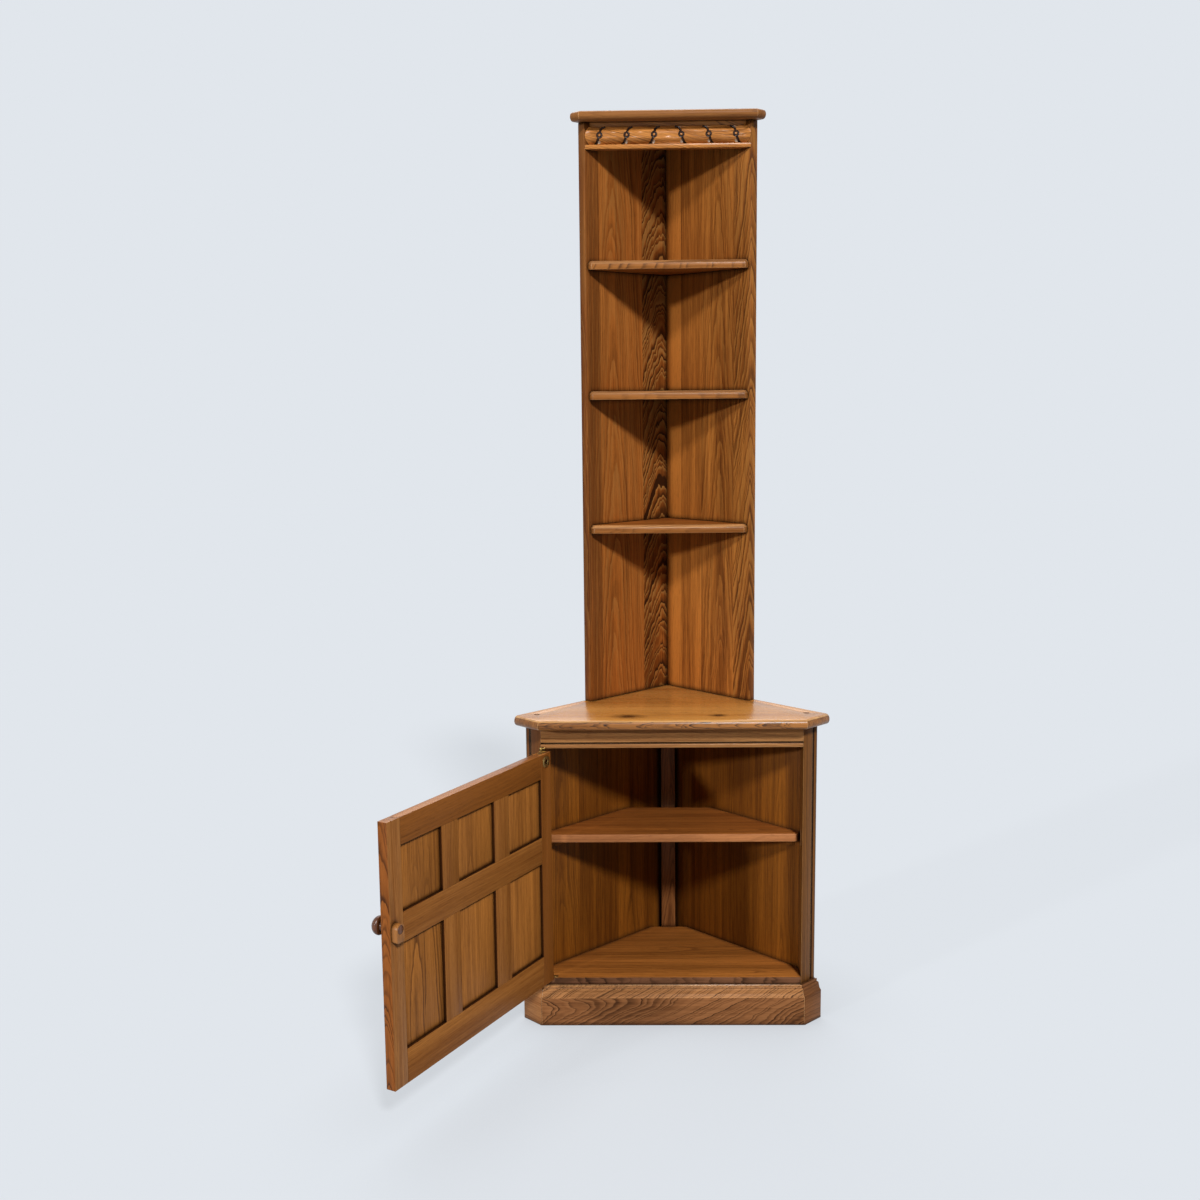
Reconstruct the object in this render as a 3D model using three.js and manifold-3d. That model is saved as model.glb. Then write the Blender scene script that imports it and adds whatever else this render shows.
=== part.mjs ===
// Corner cupboard: a canted carcass on a plinth, with one panelled door, and open shelves between two tall
// back boards above it. Millimetres, +Z up. Everything is drawn in plan from the corner of the room: the walls
// run to the left and right of it at 45 degrees and the front faces -Y. The door is drawn shut and its group
// then swings it open. The finished group is moved so that its origin lies under the front plinth board.

import * as THREE from "three";
import { mergeVertices } from "three/addons/utils/BufferGeometryUtils.js";
import Module from "manifold-3d";

const wasm = await Module();
wasm.setup();

// General fits
const jointGap = 0.3; // glue line or fitting gap between two pieces
const overrun = 5; // how far a cutter passes beyond what it cuts
const weldDistance = 0.001; // corners closer than this are one corner

// Heights
const overallHeight = 1930;
const worktopTop = 680;
const baseShelfTop = 411;
const upperShelfTops = { bottom: 1070, middle: 1357, top: 1629 };

// Carcass plan
const carcassFrontHalf = 277; // half width of the front, between the cants
const postCant = 49.5; // width of the canted face at each front corner
const sidePanelThickness = 12;

// Plinth
const plinthHeight = 86;
const plinthMouldHeight = 24;
const plinthProud = 17;
const plinthInside = 3; // how far the plinth boards reach in behind the carcass line
const plinthRailThickness = 16;
const plinthBlockLength = 60;
const backBlockMargin = 4;
const plinthMouldShares = [
  [1, 0], [0.99, 0.05], [0.94, 0.1], [0.84, 0.17], [0.75, 0.29], [0.69, 0.43], [0.65, 0.57], [0.62, 0.68],
  [0.57, 0.73], [0.5, 0.75], [0.32, 0.75], [0.32, 1],
]; // plinth moulding: outward share of plinthProud, height share of plinthMouldHeight
const plinthQuirkWidth = 2.5; // groove along the top of the plinth, in front of the floor's edge
const plinthQuirkDepth = 4;

// Floor, base shelf and back post
const floorThickness = 16;
const floorSetBack = 0.5; // floor edge behind the faces of the posts
const shelfThickness = 18;
const baseShelfSetBack = 36; // clears the door and its turn button
const baseShelfRear = 112; // straight rear edge, from the corner of the room
const baseShelfClip = 8;
const bearerHeight = 16;
const bearerThickness = 12;
const bearerEnd = 12;
const backPostWidth = 32;
const backPostFace = 59; // front face of the back post, from the corner of the room

// Corner posts
const postWallLip = 10;
const postGrooveAt = 30; // from the front corner, along the cant
const postGrooveWidth = 3.5;
const postGrooveDepth = 4.5;
const postBeadFall = 2.5;
const beadSteps = 8;

// Front rail
const railHeight = 46;
const railBeadHeight = 9;
const railQuirkHeight = 4;
const railQuirkDepth = 5;
const railBeadEase = 1.5;
const railTenonLength = 6;
const railTenonThickness = 6;
const railTenonSetBack = 12;
const railTenonHeight = 22;
const railTenonRise = 17;

// Worktop
const worktopThickness = 22;
const worktopOverhang = 39;
const worktopCant = 75;
const worktopNose = 9;
const noseSteps = 8;
const plugRadius = 6;
const plugDepth = 8;
const plugInward = 13;

// Back boards, upper shelves, frieze and cornice
const backBoardWidth = 264.5;
const backBoardThickness = 18;
const upperShelfSetBack = 6; // from the front edge of the back board, along the wall
const upperShelfCant = 11.3;
const upperShelfBevelHeight = 6.5;
const upperShelfBevelDepth = 5;
const housingDepth = 5;
const housingStop = 14;
const corniceThickness = 19;
const corniceOverhang = 22;
const corniceCant = 26;
const corniceNose = 8;
const friezeHeight = 55;
const friezeSetBack = 1;
const friezeThickness = 20;
const friezeStripHeight = 9;
const friezeRoundHeight = 35;
const friezeRoundFall = 8;
const friezeQuirk = 1.5;
const friezeSteps = 10;
const friezeBlockLength = 18;
const friezeBlockHeight = 40;
const dowelRadius = 4;
const dowelHalf = 16;
const dowelPlaceShare = 0.55;

// Door
const doorThickness = 20;
const doorSideGap = 2;
const doorTopGap = 2.5;
const doorStileWidth = 38.5;
const doorTopRail = 51;
const doorMiddleRail = 57;
const doorBottomRail = 66;
const doorMuntinWidth = 52;
const doorPanelThickness = 8;
const doorGrooveDepth = 8;
const doorPanelInset = 6; // how far a panel enters its groove
const doorTenon = 7;
const upperPanelShare = 0.38;
const doorOpen = THREE.MathUtils.degToRad(118.5);
const doorStopLength = 60;
const doorStopDrop = 5;
const doorStopHeight = 34;
const doorStopThickness = 14;
const doorStopFromJamb = 40;

// Pivot hinges
const hingeProud = 3.5; // the axis stands in front of the door's face
const hingeEyeRadius = 2.9;
const hingeLeafThickness = 2.2;
const hingeLeafWidth = 11;
const hingeLeafLength = 27;
const hingeLeafSetBack = 3;
const hingeNeckWidth = 7;
const hingePinRadius = 1.5;
const hingePinHeadRadius = 2.5;
const hingePinHeadHeight = 1.2;
const hingePinTail = 1;
const pinPlay = 0.1;

// Round brass fitting inside the top of the hinge stile
const fittingInset = 17;
const fittingDrop = 18;
const fittingRadius = 12.6;
const fittingThickness = 2;
const fittingProud = 0.8;
const fittingScrewRadius = 5;
const fittingShankRadius = 2.5;
const fittingShankLength = 8;
const fittingSlotWidth = 1.4;
const fittingSlotDepth = 1.2;

// Knob and turn button
const catchInset = 14; // from the free edge of the door
const catchRise = 6; // above the middle of the middle rail
const shankRadius = 8;
const knobRadius = 18;
const knobHeight = 27;
const knobNeckRadius = 9.5;
const knobNeckHeight = 8;
const knobRimHeight = 13;
const buttonThickness = 13;
const buttonHalfWidth = 11;
const buttonTongue = 24;
const buttonCornerRadius = 4;
const pocketPlay = 1;
const knobSteps = 8;
const roundSegments = 32;

// Levels and lines that follow from the sizes above
const diagonal = Math.SQRT1_2;
const mitre = Math.tan(Math.PI / 8); // the front and the cants meet at 135 degrees
const carcassWallHalf = carcassFrontHalf + postCant * diagonal;
const carcassDepth = 2 * carcassWallHalf - carcassFrontHalf;
const carcassWallLength = carcassWallHalf / diagonal;
const worktopUnder = worktopTop - worktopThickness;
const floorTop = plinthHeight + floorThickness;
const openingTop = worktopUnder - railHeight;
const corniceUnder = overallHeight - corniceThickness;
const doorLow = floorTop + doorTopGap;
const doorHigh = openingTop - doorTopGap;
const doorHalf = carcassFrontHalf - doorSideGap;
const doorFront = -carcassDepth;
const doorBack = doorFront + doorThickness;
const hingeX = -carcassFrontHalf + doorSideGap / 2;
const hingeY = doorFront - hingeProud;
const panelsSpan = doorHigh - doorLow - doorTopRail - doorMiddleRail - doorBottomRail;
const lowerPanelTop = doorLow + doorBottomRail + panelsSpan * (1 - upperPanelShare);
const upperPanelLow = lowerPanelTop + doorMiddleRail;
const catchX = doorHalf - catchInset;
const catchZ = (lowerPanelTop + upperPanelLow) / 2 + catchRise;

const elm = new THREE.MeshStandardMaterial({ color: 0x9a5f2c, roughness: 0.45, flatShading: true });
const paleElm = new THREE.MeshStandardMaterial({ color: 0xb97c40, roughness: 0.4, flatShading: true });
const darkElm = new THREE.MeshStandardMaterial({ color: 0x6b4022, roughness: 0.55, flatShading: true });
const brass = new THREE.MeshStandardMaterial({ color: 0xa98a4a, roughness: 0.35, metalness: 1, flatShading: true });

// A closed three.js geometry as a solid that can be joined and cut.
function solid(geometry) {
  const bare = geometry.clone();
  bare.deleteAttribute("normal");
  bare.deleteAttribute("uv");
  const merged = mergeVertices(bare, weldDistance);
  return new wasm.Manifold(
    new wasm.Mesh({
      numProp: 3,
      vertProperties: merged.attributes.position.array,
      triVerts: new Uint32Array(merged.index.array),
    }),
  );
}

// Adds a solid to a group as a named mesh.
function place(group, name, piece, material) {
  const { vertProperties, triVerts } = piece.getMesh();
  const geometry = new THREE.BufferGeometry();
  geometry.setAttribute("position", new THREE.BufferAttribute(new Float32Array(vertProperties), 3));
  geometry.setIndex(new THREE.BufferAttribute(new Uint32Array(triVerts), 1));
  const mesh = new THREE.Mesh(geometry, material);
  mesh.name = name;
  group.add(mesh);
}

function shapeOf(points) {
  return new THREE.Shape(points.map(([x, y]) => new THREE.Vector2(x, y)));
}

// A plan outline raised from one level to another.
function prism(outline, low, high) {
  const geometry = new THREE.ExtrudeGeometry(shapeOf(outline), { depth: high - low, bevelEnabled: false });
  return solid(geometry.translate(0, 0, low));
}

function block([xLow, xHigh], [yLow, yHigh], [zLow, zHigh]) {
  const geometry = new THREE.BoxGeometry(xHigh - xLow, yHigh - yLow, zHigh - zLow);
  return solid(geometry.translate((xLow + xHigh) / 2, (yLow + yHigh) / 2, (zLow + zHigh) / 2));
}

function uprightRod(radius, x, y, low, high) {
  const geometry = new THREE.CylinderGeometry(radius, radius, high - low, roundSegments);
  return solid(geometry.rotateX(Math.PI / 2).translate(x, y, (low + high) / 2));
}

// A round bar or bore through the thickness of the door, along Y.
function crossRod(radius, x, z, yLow, yHigh) {
  const geometry = new THREE.CylinderGeometry(radius, radius, yHigh - yLow, roundSegments);
  return solid(geometry.translate(x, (yLow + yHigh) / 2, z));
}

// A length of board or moulding along X. The section's points are [outward, height], with outward towards -Y,
// and the two ends are functions of outward, so that an end can be square or mitred.
function runAlongX(section, startAt, endAt) {
  const geometry = new THREE.ExtrudeGeometry(shapeOf(section), { depth: 1, bevelEnabled: false });
  const corners = geometry.attributes.position;
  for (let i = 0; i < corners.count; i += 1) {
    const outward = corners.getX(i);
    const height = corners.getY(i);
    const x = corners.getZ(i) > 0 ? startAt(outward) : endAt(outward);
    corners.setXYZ(i, x, -outward, height);
  }
  return geometry;
}

// A point beside a wall: so far along it from the corner of the room, and so far in from its face.
function onWall(side, along, inward) {
  return [side * (along - inward) * diagonal, -(along + inward) * diagonal];
}

// A point beside the canted face of a corner post: so far along it from the front corner, and so far in.
function onCant(side, along, inward) {
  return [
    side * (carcassFrontHalf + (along - inward) * diagonal),
    -carcassDepth + (along + inward) * diagonal,
  ];
}

// A board that fills the corner, with square edges on the walls and a moulded edge on its front and cants.
// The profile's points are [set back from the edge, height above low], from the bottom up.
function cantedBoard(corner, frontDepth, cantWidth, low, profile) {
  const top = low + profile[profile.length - 1][1];
  const reach = 2 * frontDepth;
  const cantDistance = (frontDepth - cantWidth * diagonal) / diagonal;
  const edge = (distance, turn) => {
    const section = profile.map(([setBack, height]) => [distance - setBack, low + height]);
    section.push([-overrun, top], [-overrun, low]);
    return solid(runAlongX(section, () => -reach, () => reach).rotateZ(turn).translate(0, -corner, 0));
  };
  const walls = [[0, -corner], [reach, -corner - reach], [-reach, -corner - reach]];
  return prism(walls, low - overrun, top + overrun)
    .intersect(edge(frontDepth, 0))
    .intersect(edge(cantDistance, Math.PI / 4))
    .intersect(edge(cantDistance, -Math.PI / 4));
}

// A rounded nosing: half an ellipse over the thickness of the board.
function nosing(thickness, nose) {
  return Array.from({ length: noseSteps + 1 }, (_, step) => {
    const angle = Math.PI * (step / noseSteps - 0.5);
    return [nose * (1 - Math.cos(angle)), (thickness / 2) * (1 + Math.sin(angle))];
  });
}

const cupboard = new THREE.Group();
const doorSwing = new THREE.Group();
const door = new THREE.Group();

// Plinth: moulded boards mitred at the front corners, square rails along the walls, and glue blocks
function plinthSection() {
  const section = [[-plinthInside, 0], [plinthProud, 0]];
  for (const [outwardShare, heightShare] of plinthMouldShares)
    section.push([
      plinthProud * outwardShare,
      plinthHeight - plinthMouldHeight * (1 - heightShare),
    ]);
  section.push([plinthQuirkWidth, plinthHeight], [plinthQuirkWidth, plinthHeight - plinthQuirkDepth]);
  section.push([0, plinthHeight - plinthQuirkDepth], [0, plinthHeight], [-plinthInside, plinthHeight]);
  return section;
}

function plinthFront() {
  const end = (outward) => carcassFrontHalf + outward * mitre - jointGap / 2;
  return solid(runAlongX(plinthSection(), (o) => -end(o), end).translate(0, -carcassDepth, 0));
}

function plinthCant(side) {
  const atFront = (outward) => side * (jointGap / 2 - outward * mitre);
  const atWall = () => side * postCant;
  const [start, end] = side > 0 ? [atFront, atWall] : [atWall, atFront];
  return solid(
    runAlongX(plinthSection(), start, end)
      .rotateZ((side * Math.PI) / 4)
      .translate(side * carcassFrontHalf, -carcassDepth, 0),
  );
}

function wallBoard(side, thickness, end, low, high) {
  const start = side > 0 ? thickness + jointGap : 0; // the right board butts against the left one
  return prism(
    [onWall(side, start, 0), onWall(side, end, 0), onWall(side, end, thickness), onWall(side, start, thickness)],
    low,
    high,
  );
}

function plinthFrontBlock(side) {
  const inward = plinthInside + jointGap;
  const railFace = plinthRailThickness + jointGap;
  const alongRail = carcassWallLength - inward;
  return prism(
    [
      [side * (carcassFrontHalf - plinthBlockLength), -carcassDepth + inward],
      [side * (carcassFrontHalf - inward * mitre), -carcassDepth + inward],
      onWall(side, alongRail, railFace),
      onWall(side, alongRail - plinthBlockLength, railFace),
    ],
    0,
    plinthHeight,
  );
}

function plinthBackBlock() {
  const railFace = plinthRailThickness + jointGap;
  const along = (backPostFace + backBlockMargin) / diagonal - railFace;
  return prism(
    [onWall(1, railFace, railFace), onWall(1, along, railFace), onWall(-1, along, railFace)],
    0,
    plinthHeight,
  );
}

place(cupboard, "plinth_front", plinthFront(), elm);
for (const [side, hand] of [[-1, "left"], [1, "right"]]) {
  const railEnd = carcassWallLength - plinthInside - jointGap;
  place(cupboard, "plinth_cant_" + hand, plinthCant(side), elm);
  place(cupboard, "plinth_wall_rail_" + hand, wallBoard(side, plinthRailThickness, railEnd, 0, plinthHeight), elm);
  place(cupboard, "plinth_block_" + hand, plinthFrontBlock(side), elm);
}
place(cupboard, "plinth_block_back", plinthBackBlock(), elm);

// Leaves of the pivot hinges, drawn in plan; each is a plate with a neck and an eye round the pin
const leafFront = doorFront + hingeLeafSetBack;
const leafStart = -doorHalf;

function leafPlan(margin, low, high) {
  const neck = block(
    [leafStart - margin, leafStart + hingeNeckWidth + margin],
    [hingeY - margin, leafFront + hingeLeafWidth / 2],
    [low, high],
  );
  const plate = block(
    [leafStart - margin, leafStart + hingeLeafLength + margin],
    [leafFront - margin, leafFront + hingeLeafWidth + margin],
    [low, high],
  );
  return neck.add(plate);
}

function hingeLeaf(low) {
  const high = low + hingeLeafThickness;
  const bore = uprightRod(hingePinRadius + pinPlay, hingeX, hingeY, low - overrun, high + overrun);
  return leafPlan(0, low, high)
    .add(uprightRod(hingeEyeRadius, hingeX, hingeY, low, high))
    .subtract(bore);
}

// A pin whose head rests outside one leaf and whose shank passes both: headSide is 1 above or -1 below.
function hingePin(headSide, outer, inner) {
  const headEnd = outer + headSide * hingePinHeadHeight;
  const tail = inner - headSide * hingePinTail;
  return uprightRod(hingePinHeadRadius, hingeX, hingeY, Math.min(outer, headEnd), Math.max(outer, headEnd)).add(
    uprightRod(hingePinRadius, hingeX, hingeY, Math.min(outer, tail), Math.max(outer, tail)),
  );
}

const topCaseLeaf = openingTop;
const topDoorLeaf = doorHigh - hingeLeafThickness;
const bottomCaseLeaf = floorTop - hingeLeafThickness;
const bottomDoorLeaf = doorLow;
place(cupboard, "hinge_top_case_leaf", hingeLeaf(topCaseLeaf), brass);
place(cupboard, "hinge_bottom_case_leaf", hingeLeaf(bottomCaseLeaf), brass);
place(door, "hinge_top_door_leaf", hingeLeaf(topDoorLeaf), brass);
place(door, "hinge_bottom_door_leaf", hingeLeaf(bottomDoorLeaf), brass);
place(cupboard, "hinge_top_pin", hingePin(1, topCaseLeaf + hingeLeafThickness, topDoorLeaf), brass);
place(cupboard, "hinge_bottom_pin", hingePin(-1, bottomCaseLeaf, bottomDoorLeaf + hingeLeafThickness), brass);

// Cupboard floor between the posts, with its rear corner cut off in front of the back post
const panelFace = sidePanelThickness + jointGap; // inner face of a side panel, with its glue line

// A point where the inner face of a side panel reaches a given half width or depth
function besidePanelAtHalf(side, half) {
  return onWall(side, half / diagonal + panelFace, panelFace);
}

function besidePanelAtDepth(side, depth) {
  return onWall(side, depth / diagonal - panelFace, panelFace);
}

function cabinetFloor() {
  const half = carcassFrontHalf - jointGap;
  const front = -carcassDepth + floorSetBack;
  const board = prism(
    [
      besidePanelAtDepth(1, backPostFace),
      besidePanelAtHalf(1, half),
      [half, front],
      [-half, front],
      besidePanelAtHalf(-1, half),
      besidePanelAtDepth(-1, backPostFace),
    ],
    plinthHeight,
    floorTop,
  );
  return board.subtract(leafPlan(jointGap, bottomCaseLeaf, floorTop + overrun));
}

// Corner posts: the cant carries a groove and a bead, and a rebate behind takes the side panel
function cornerPost(side) {
  const outline = [onCant(side, 0, 0)];
  const grooveEnd = postGrooveAt + postGrooveWidth;
  outline.push(onCant(side, postGrooveAt, 0));
  outline.push(onCant(side, postGrooveAt, postGrooveDepth));
  outline.push(onCant(side, grooveEnd, postGrooveDepth));
  for (let step = 0; step <= beadSteps; step += 1) {
    const share = step / beadSteps;
    const along = grooveEnd + (postCant - grooveEnd) * share;
    outline.push(onCant(side, along, postBeadFall * (2 * share - 1) ** 2));
  }
  outline.push(onWall(side, carcassWallLength - postWallLip, 0));
  outline.push(onWall(side, carcassWallLength - postWallLip, panelFace));
  outline.push(besidePanelAtHalf(side, carcassFrontHalf));
  const jamb = side * carcassFrontHalf;
  const tenonEnd = side * (carcassFrontHalf + railTenonLength + jointGap);
  const mortise = block(
    [Math.min(jamb - side * overrun, tenonEnd), Math.max(jamb - side * overrun, tenonEnd)],
    [
      -carcassDepth + railTenonSetBack - jointGap,
      -carcassDepth + railTenonSetBack + railTenonThickness + jointGap,
    ],
    [openingTop + railTenonRise - jointGap, openingTop + railTenonRise + railTenonHeight + jointGap],
  );
  return prism(outline, plinthHeight, worktopUnder).subtract(mortise);
}

// The lock side post has a pocket in its jamb, which the turned tongue of the button enters
function catchPocket() {
  const cornerReach = Math.hypot(buttonHalfWidth - buttonCornerRadius, buttonTongue - buttonCornerRadius);
  const reach = cornerReach + buttonCornerRadius + pocketPlay;
  return block(
    [carcassFrontHalf - overrun, catchX + reach],
    [doorBack - pocketPlay, doorBack + jointGap + buttonThickness + pocketPlay],
    [catchZ - buttonTongue - pocketPlay, catchZ + buttonHalfWidth + pocketPlay],
  );
}

function backPost() {
  const half = backPostWidth / 2;
  return prism(
    [
      [-half, -backPostFace],
      [half, -backPostFace],
      besidePanelAtHalf(1, half),
      onWall(1, panelFace, panelFace),
      besidePanelAtHalf(-1, half),
    ],
    plinthHeight,
    worktopUnder,
  );
}

place(cupboard, "cupboard_floor", cabinetFloor(), elm);
place(cupboard, "corner_post_left", cornerPost(-1), elm);
place(cupboard, "corner_post_right", cornerPost(1).subtract(catchPocket()), elm);
place(cupboard, "back_post", backPost(), darkElm);
for (const [side, hand] of [[-1, "left"], [1, "right"]]) {
  const end = carcassWallLength - postWallLip - jointGap;
  const panel = wallBoard(side, sidePanelThickness, end, plinthHeight, worktopUnder);
  place(cupboard, "side_panel_" + hand, panel, elm);
}

// Base shelf: it fits between the side panels and the posts, and rests on two bearers
function baseShelf() {
  const half = carcassFrontHalf - jointGap;
  const front = -carcassDepth + baseShelfSetBack;
  const right = [
    besidePanelAtDepth(1, baseShelfRear),
    besidePanelAtHalf(1, half),
    [half, front + baseShelfClip],
    [half - baseShelfClip, front],
  ];
  const left = right.map(([x, y]) => [-x, y]).reverse();
  return prism([...right, ...left], baseShelfTop - shelfThickness, baseShelfTop);
}

function shelfBearer(side) {
  const start = baseShelfRear / diagonal - panelFace + bearerEnd;
  const end = carcassFrontHalf / diagonal + panelFace - bearerEnd;
  const under = baseShelfTop - shelfThickness;
  return prism(
    [
      onWall(side, start, panelFace),
      onWall(side, end, panelFace),
      onWall(side, end - bearerThickness, panelFace + bearerThickness),
      onWall(side, start, panelFace + bearerThickness),
    ],
    under - bearerHeight,
    under,
  );
}

place(cupboard, "base_shelf", baseShelf(), elm);
place(cupboard, "shelf_bearer_left", shelfBearer(-1), elm);
place(cupboard, "shelf_bearer_right", shelfBearer(1), elm);

// Front rail with a quirk and a bead along its lower edge, tenoned into the posts, and the door stop behind it
const railBack = -carcassDepth + doorThickness + jointGap;

function frontRail() {
  const beadTop = openingTop + railBeadHeight;
  const quirkTop = beadTop + railQuirkHeight;
  const section = [
    [-railBack, openingTop],
    [carcassDepth - railBeadEase, openingTop],
    [carcassDepth, openingTop + railBeadEase],
    [carcassDepth, beadTop - railBeadEase],
    [carcassDepth - railBeadEase, beadTop],
    [carcassDepth - railQuirkDepth, beadTop],
    [carcassDepth - railQuirkDepth, quirkTop],
    [carcassDepth, quirkTop],
    [carcassDepth, worktopUnder],
    [-railBack, worktopUnder],
  ];
  const half = carcassFrontHalf - jointGap;
  const tenonHalf = carcassFrontHalf + railTenonLength;
  const tenon = block(
    [-tenonHalf, tenonHalf],
    [-carcassDepth + railTenonSetBack, -carcassDepth + railTenonSetBack + railTenonThickness],
    [openingTop + railTenonRise, openingTop + railTenonRise + railTenonHeight],
  );
  return solid(runAlongX(section, () => -half, () => half))
    .add(tenon)
    .subtract(leafPlan(jointGap, openingTop - overrun, openingTop + hingeLeafThickness));
}

function doorStop() {
  const end = carcassFrontHalf - doorStopFromJamb;
  const low = openingTop - doorStopDrop;
  return block([end - doorStopLength, end], [railBack, railBack + doorStopThickness], [low, low + doorStopHeight]);
}

place(cupboard, "front_rail", frontRail(), elm);
place(cupboard, "door_stop", doorStop(), elm);

// Worktop, its plugs, and the dowels that locate the back boards on it
const backBoardMiddle = backBoardThickness / 2;

function plugHole(side, radius) {
  const [x, y] = onCant(side, postCant / 2, plugInward);
  return uprightRod(radius, x, y, worktopTop - plugDepth, radius > plugRadius ? worktopTop + overrun : worktopTop);
}

function dowel(side, margin) {
  const [x, y] = onWall(side, backBoardWidth * dowelPlaceShare, backBoardMiddle);
  return uprightRod(dowelRadius + margin, x, y, worktopTop - dowelHalf, worktopTop + dowelHalf);
}

function worktop() {
  let board = cantedBoard(
    0,
    carcassDepth + worktopOverhang,
    worktopCant,
    worktopUnder,
    nosing(worktopThickness, worktopNose),
  );
  for (const side of [-1, 1])
    board = board.subtract(plugHole(side, plugRadius + jointGap)).subtract(dowel(side, jointGap));
  return board;
}

place(cupboard, "worktop", worktop(), paleElm);
for (const [side, hand] of [[-1, "left"], [1, "right"]]) {
  place(cupboard, "worktop_plug_" + hand, plugHole(side, plugRadius), darkElm);
  place(cupboard, "back_board_dowel_" + hand, dowel(side, 0), elm);
}

// Back boards and the three shelves housed in them
const boardFace = backBoardThickness + jointGap; // inner face of a back board, with its glue line
const shelfWallEnd = backBoardWidth - upperShelfSetBack;
const innerCorner = boardFace / diagonal;

// The part of a shelf that enters the back boards: it stops short of their front edges.
function housedPart(low, high, margin) {
  const face = backBoardThickness - housingDepth - margin;
  const stop = backBoardWidth - housingStop + margin;
  return prism(
    [
      onWall(1, face, face),
      onWall(1, stop, face),
      onWall(1, stop, boardFace + overrun),
      onWall(-1, stop, boardFace + overrun),
      onWall(-1, stop, face),
    ],
    low - margin,
    high + margin,
  );
}

function upperShelf(top) {
  const profile = [
    [0, 0],
    [0, shelfThickness - upperShelfBevelHeight],
    [upperShelfBevelDepth, shelfThickness],
  ];
  const wallEndHalf = (shelfWallEnd - boardFace) * diagonal;
  const frontDepth = wallEndHalf + upperShelfCant * diagonal;
  const low = top - shelfThickness;
  return cantedBoard(innerCorner, frontDepth, upperShelfCant, low, profile).add(housedPart(low, top, 0));
}

function backBoard(side) {
  let board = wallBoard(side, backBoardThickness, backBoardWidth, worktopTop, corniceUnder);
  for (const top of Object.values(upperShelfTops))
    board = board.subtract(housedPart(top - shelfThickness, top, jointGap));
  return board.subtract(dowel(side, jointGap));
}

place(cupboard, "back_board_left", backBoard(-1), elm);
place(cupboard, "back_board_right", backBoard(1), elm);
for (const [level, top] of Object.entries(upperShelfTops))
  place(cupboard, "upper_shelf_" + level, upperShelf(top), elm);

// Frieze between the back boards: a strip, a quirk, a convex band and a flat band, with glue blocks behind
const friezeFront = (backBoardWidth + backBoardThickness) * diagonal - friezeSetBack;
const friezeLow = corniceUnder - friezeHeight;

function frieze() {
  const roundLow = friezeLow + friezeStripHeight + friezeQuirk;
  const section = [
    [friezeFront - friezeThickness, friezeLow],
    [friezeFront, friezeLow],
    [friezeFront, friezeLow + friezeStripHeight],
    [friezeFront - friezeRoundFall - friezeQuirk, friezeLow + friezeStripHeight],
    [friezeFront - friezeRoundFall - friezeQuirk, roundLow],
  ];
  for (let step = 0; step <= friezeSteps; step += 1) {
    const share = step / friezeSteps;
    section.push([
      friezeFront - friezeRoundFall * (2 * share - 1) ** 2,
      roundLow + friezeRoundHeight * share,
    ]);
  }
  section.push([friezeFront - friezeRoundFall - friezeQuirk, roundLow + friezeRoundHeight]);
  section.push([friezeFront - friezeRoundFall - friezeQuirk, corniceUnder]);
  section.push([friezeFront - friezeThickness, corniceUnder]);
  const end = (outward) => outward - innerCorner;
  return solid(runAlongX(section, (o) => -end(o), end));
}

function friezeBlock(side) {
  const back = friezeFront - friezeThickness - jointGap;
  const [x, y] = onWall(side, back / diagonal - boardFace, boardFace);
  const [xBack, yBack] = onWall(side, back / diagonal - boardFace - friezeBlockLength, boardFace);
  return prism([[x, y], [xBack, yBack], [xBack + (xBack - x), y]], corniceUnder - friezeBlockHeight, corniceUnder);
}

function cornice() {
  const depth = (backBoardWidth + backBoardThickness) * diagonal + corniceOverhang;
  return cantedBoard(0, depth, corniceCant, corniceUnder, nosing(corniceThickness, corniceNose));
}

place(cupboard, "frieze", frieze(), elm);
place(cupboard, "frieze_block_left", friezeBlock(-1), elm);
place(cupboard, "frieze_block_right", friezeBlock(1), elm);
place(cupboard, "cornice", cornice(), elm);

// Door frame: stiles with a groove on the inner edge, rails and muntins with stub tenons that fill the groove
const doorMiddle = doorFront + doorThickness / 2;
const frameY = [doorFront, doorBack];
const grooveY = [
  doorMiddle - doorPanelThickness / 2 - jointGap,
  doorMiddle + doorPanelThickness / 2 + jointGap,
];
const tongueY = [doorMiddle - doorPanelThickness / 2, doorMiddle + doorPanelThickness / 2];
const stileInner = doorHalf - doorStileWidth;

function doorStile(side) {
  const inner = side * (stileInner + doorGrooveDepth);
  const beyond = side * (stileInner - overrun);
  const outer = side * doorHalf;
  const edge = side * stileInner;
  return block([Math.min(outer, edge), Math.max(outer, edge)], frameY, [doorLow, doorHigh]).subtract(
    block([Math.min(inner, beyond), Math.max(inner, beyond)], grooveY, [doorLow - overrun, doorHigh + overrun]),
  );
}

function doorRail(low, high, grooveBelow, grooveAbove) {
  const half = stileInner - jointGap;
  const tenonLow = grooveBelow ? low + doorGrooveDepth : low;
  const tenonHigh = grooveAbove ? high - doorGrooveDepth : high;
  let rail = block([-half, half], frameY, [low, high]);
  if (grooveBelow)
    rail = rail.subtract(block([-half - overrun, half + overrun], grooveY, [low - overrun, tenonLow]));
  if (grooveAbove)
    rail = rail.subtract(block([-half - overrun, half + overrun], grooveY, [tenonHigh, high + overrun]));
  return rail.add(block([-half - doorTenon, half + doorTenon], tongueY, [tenonLow, tenonHigh]));
}

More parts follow.
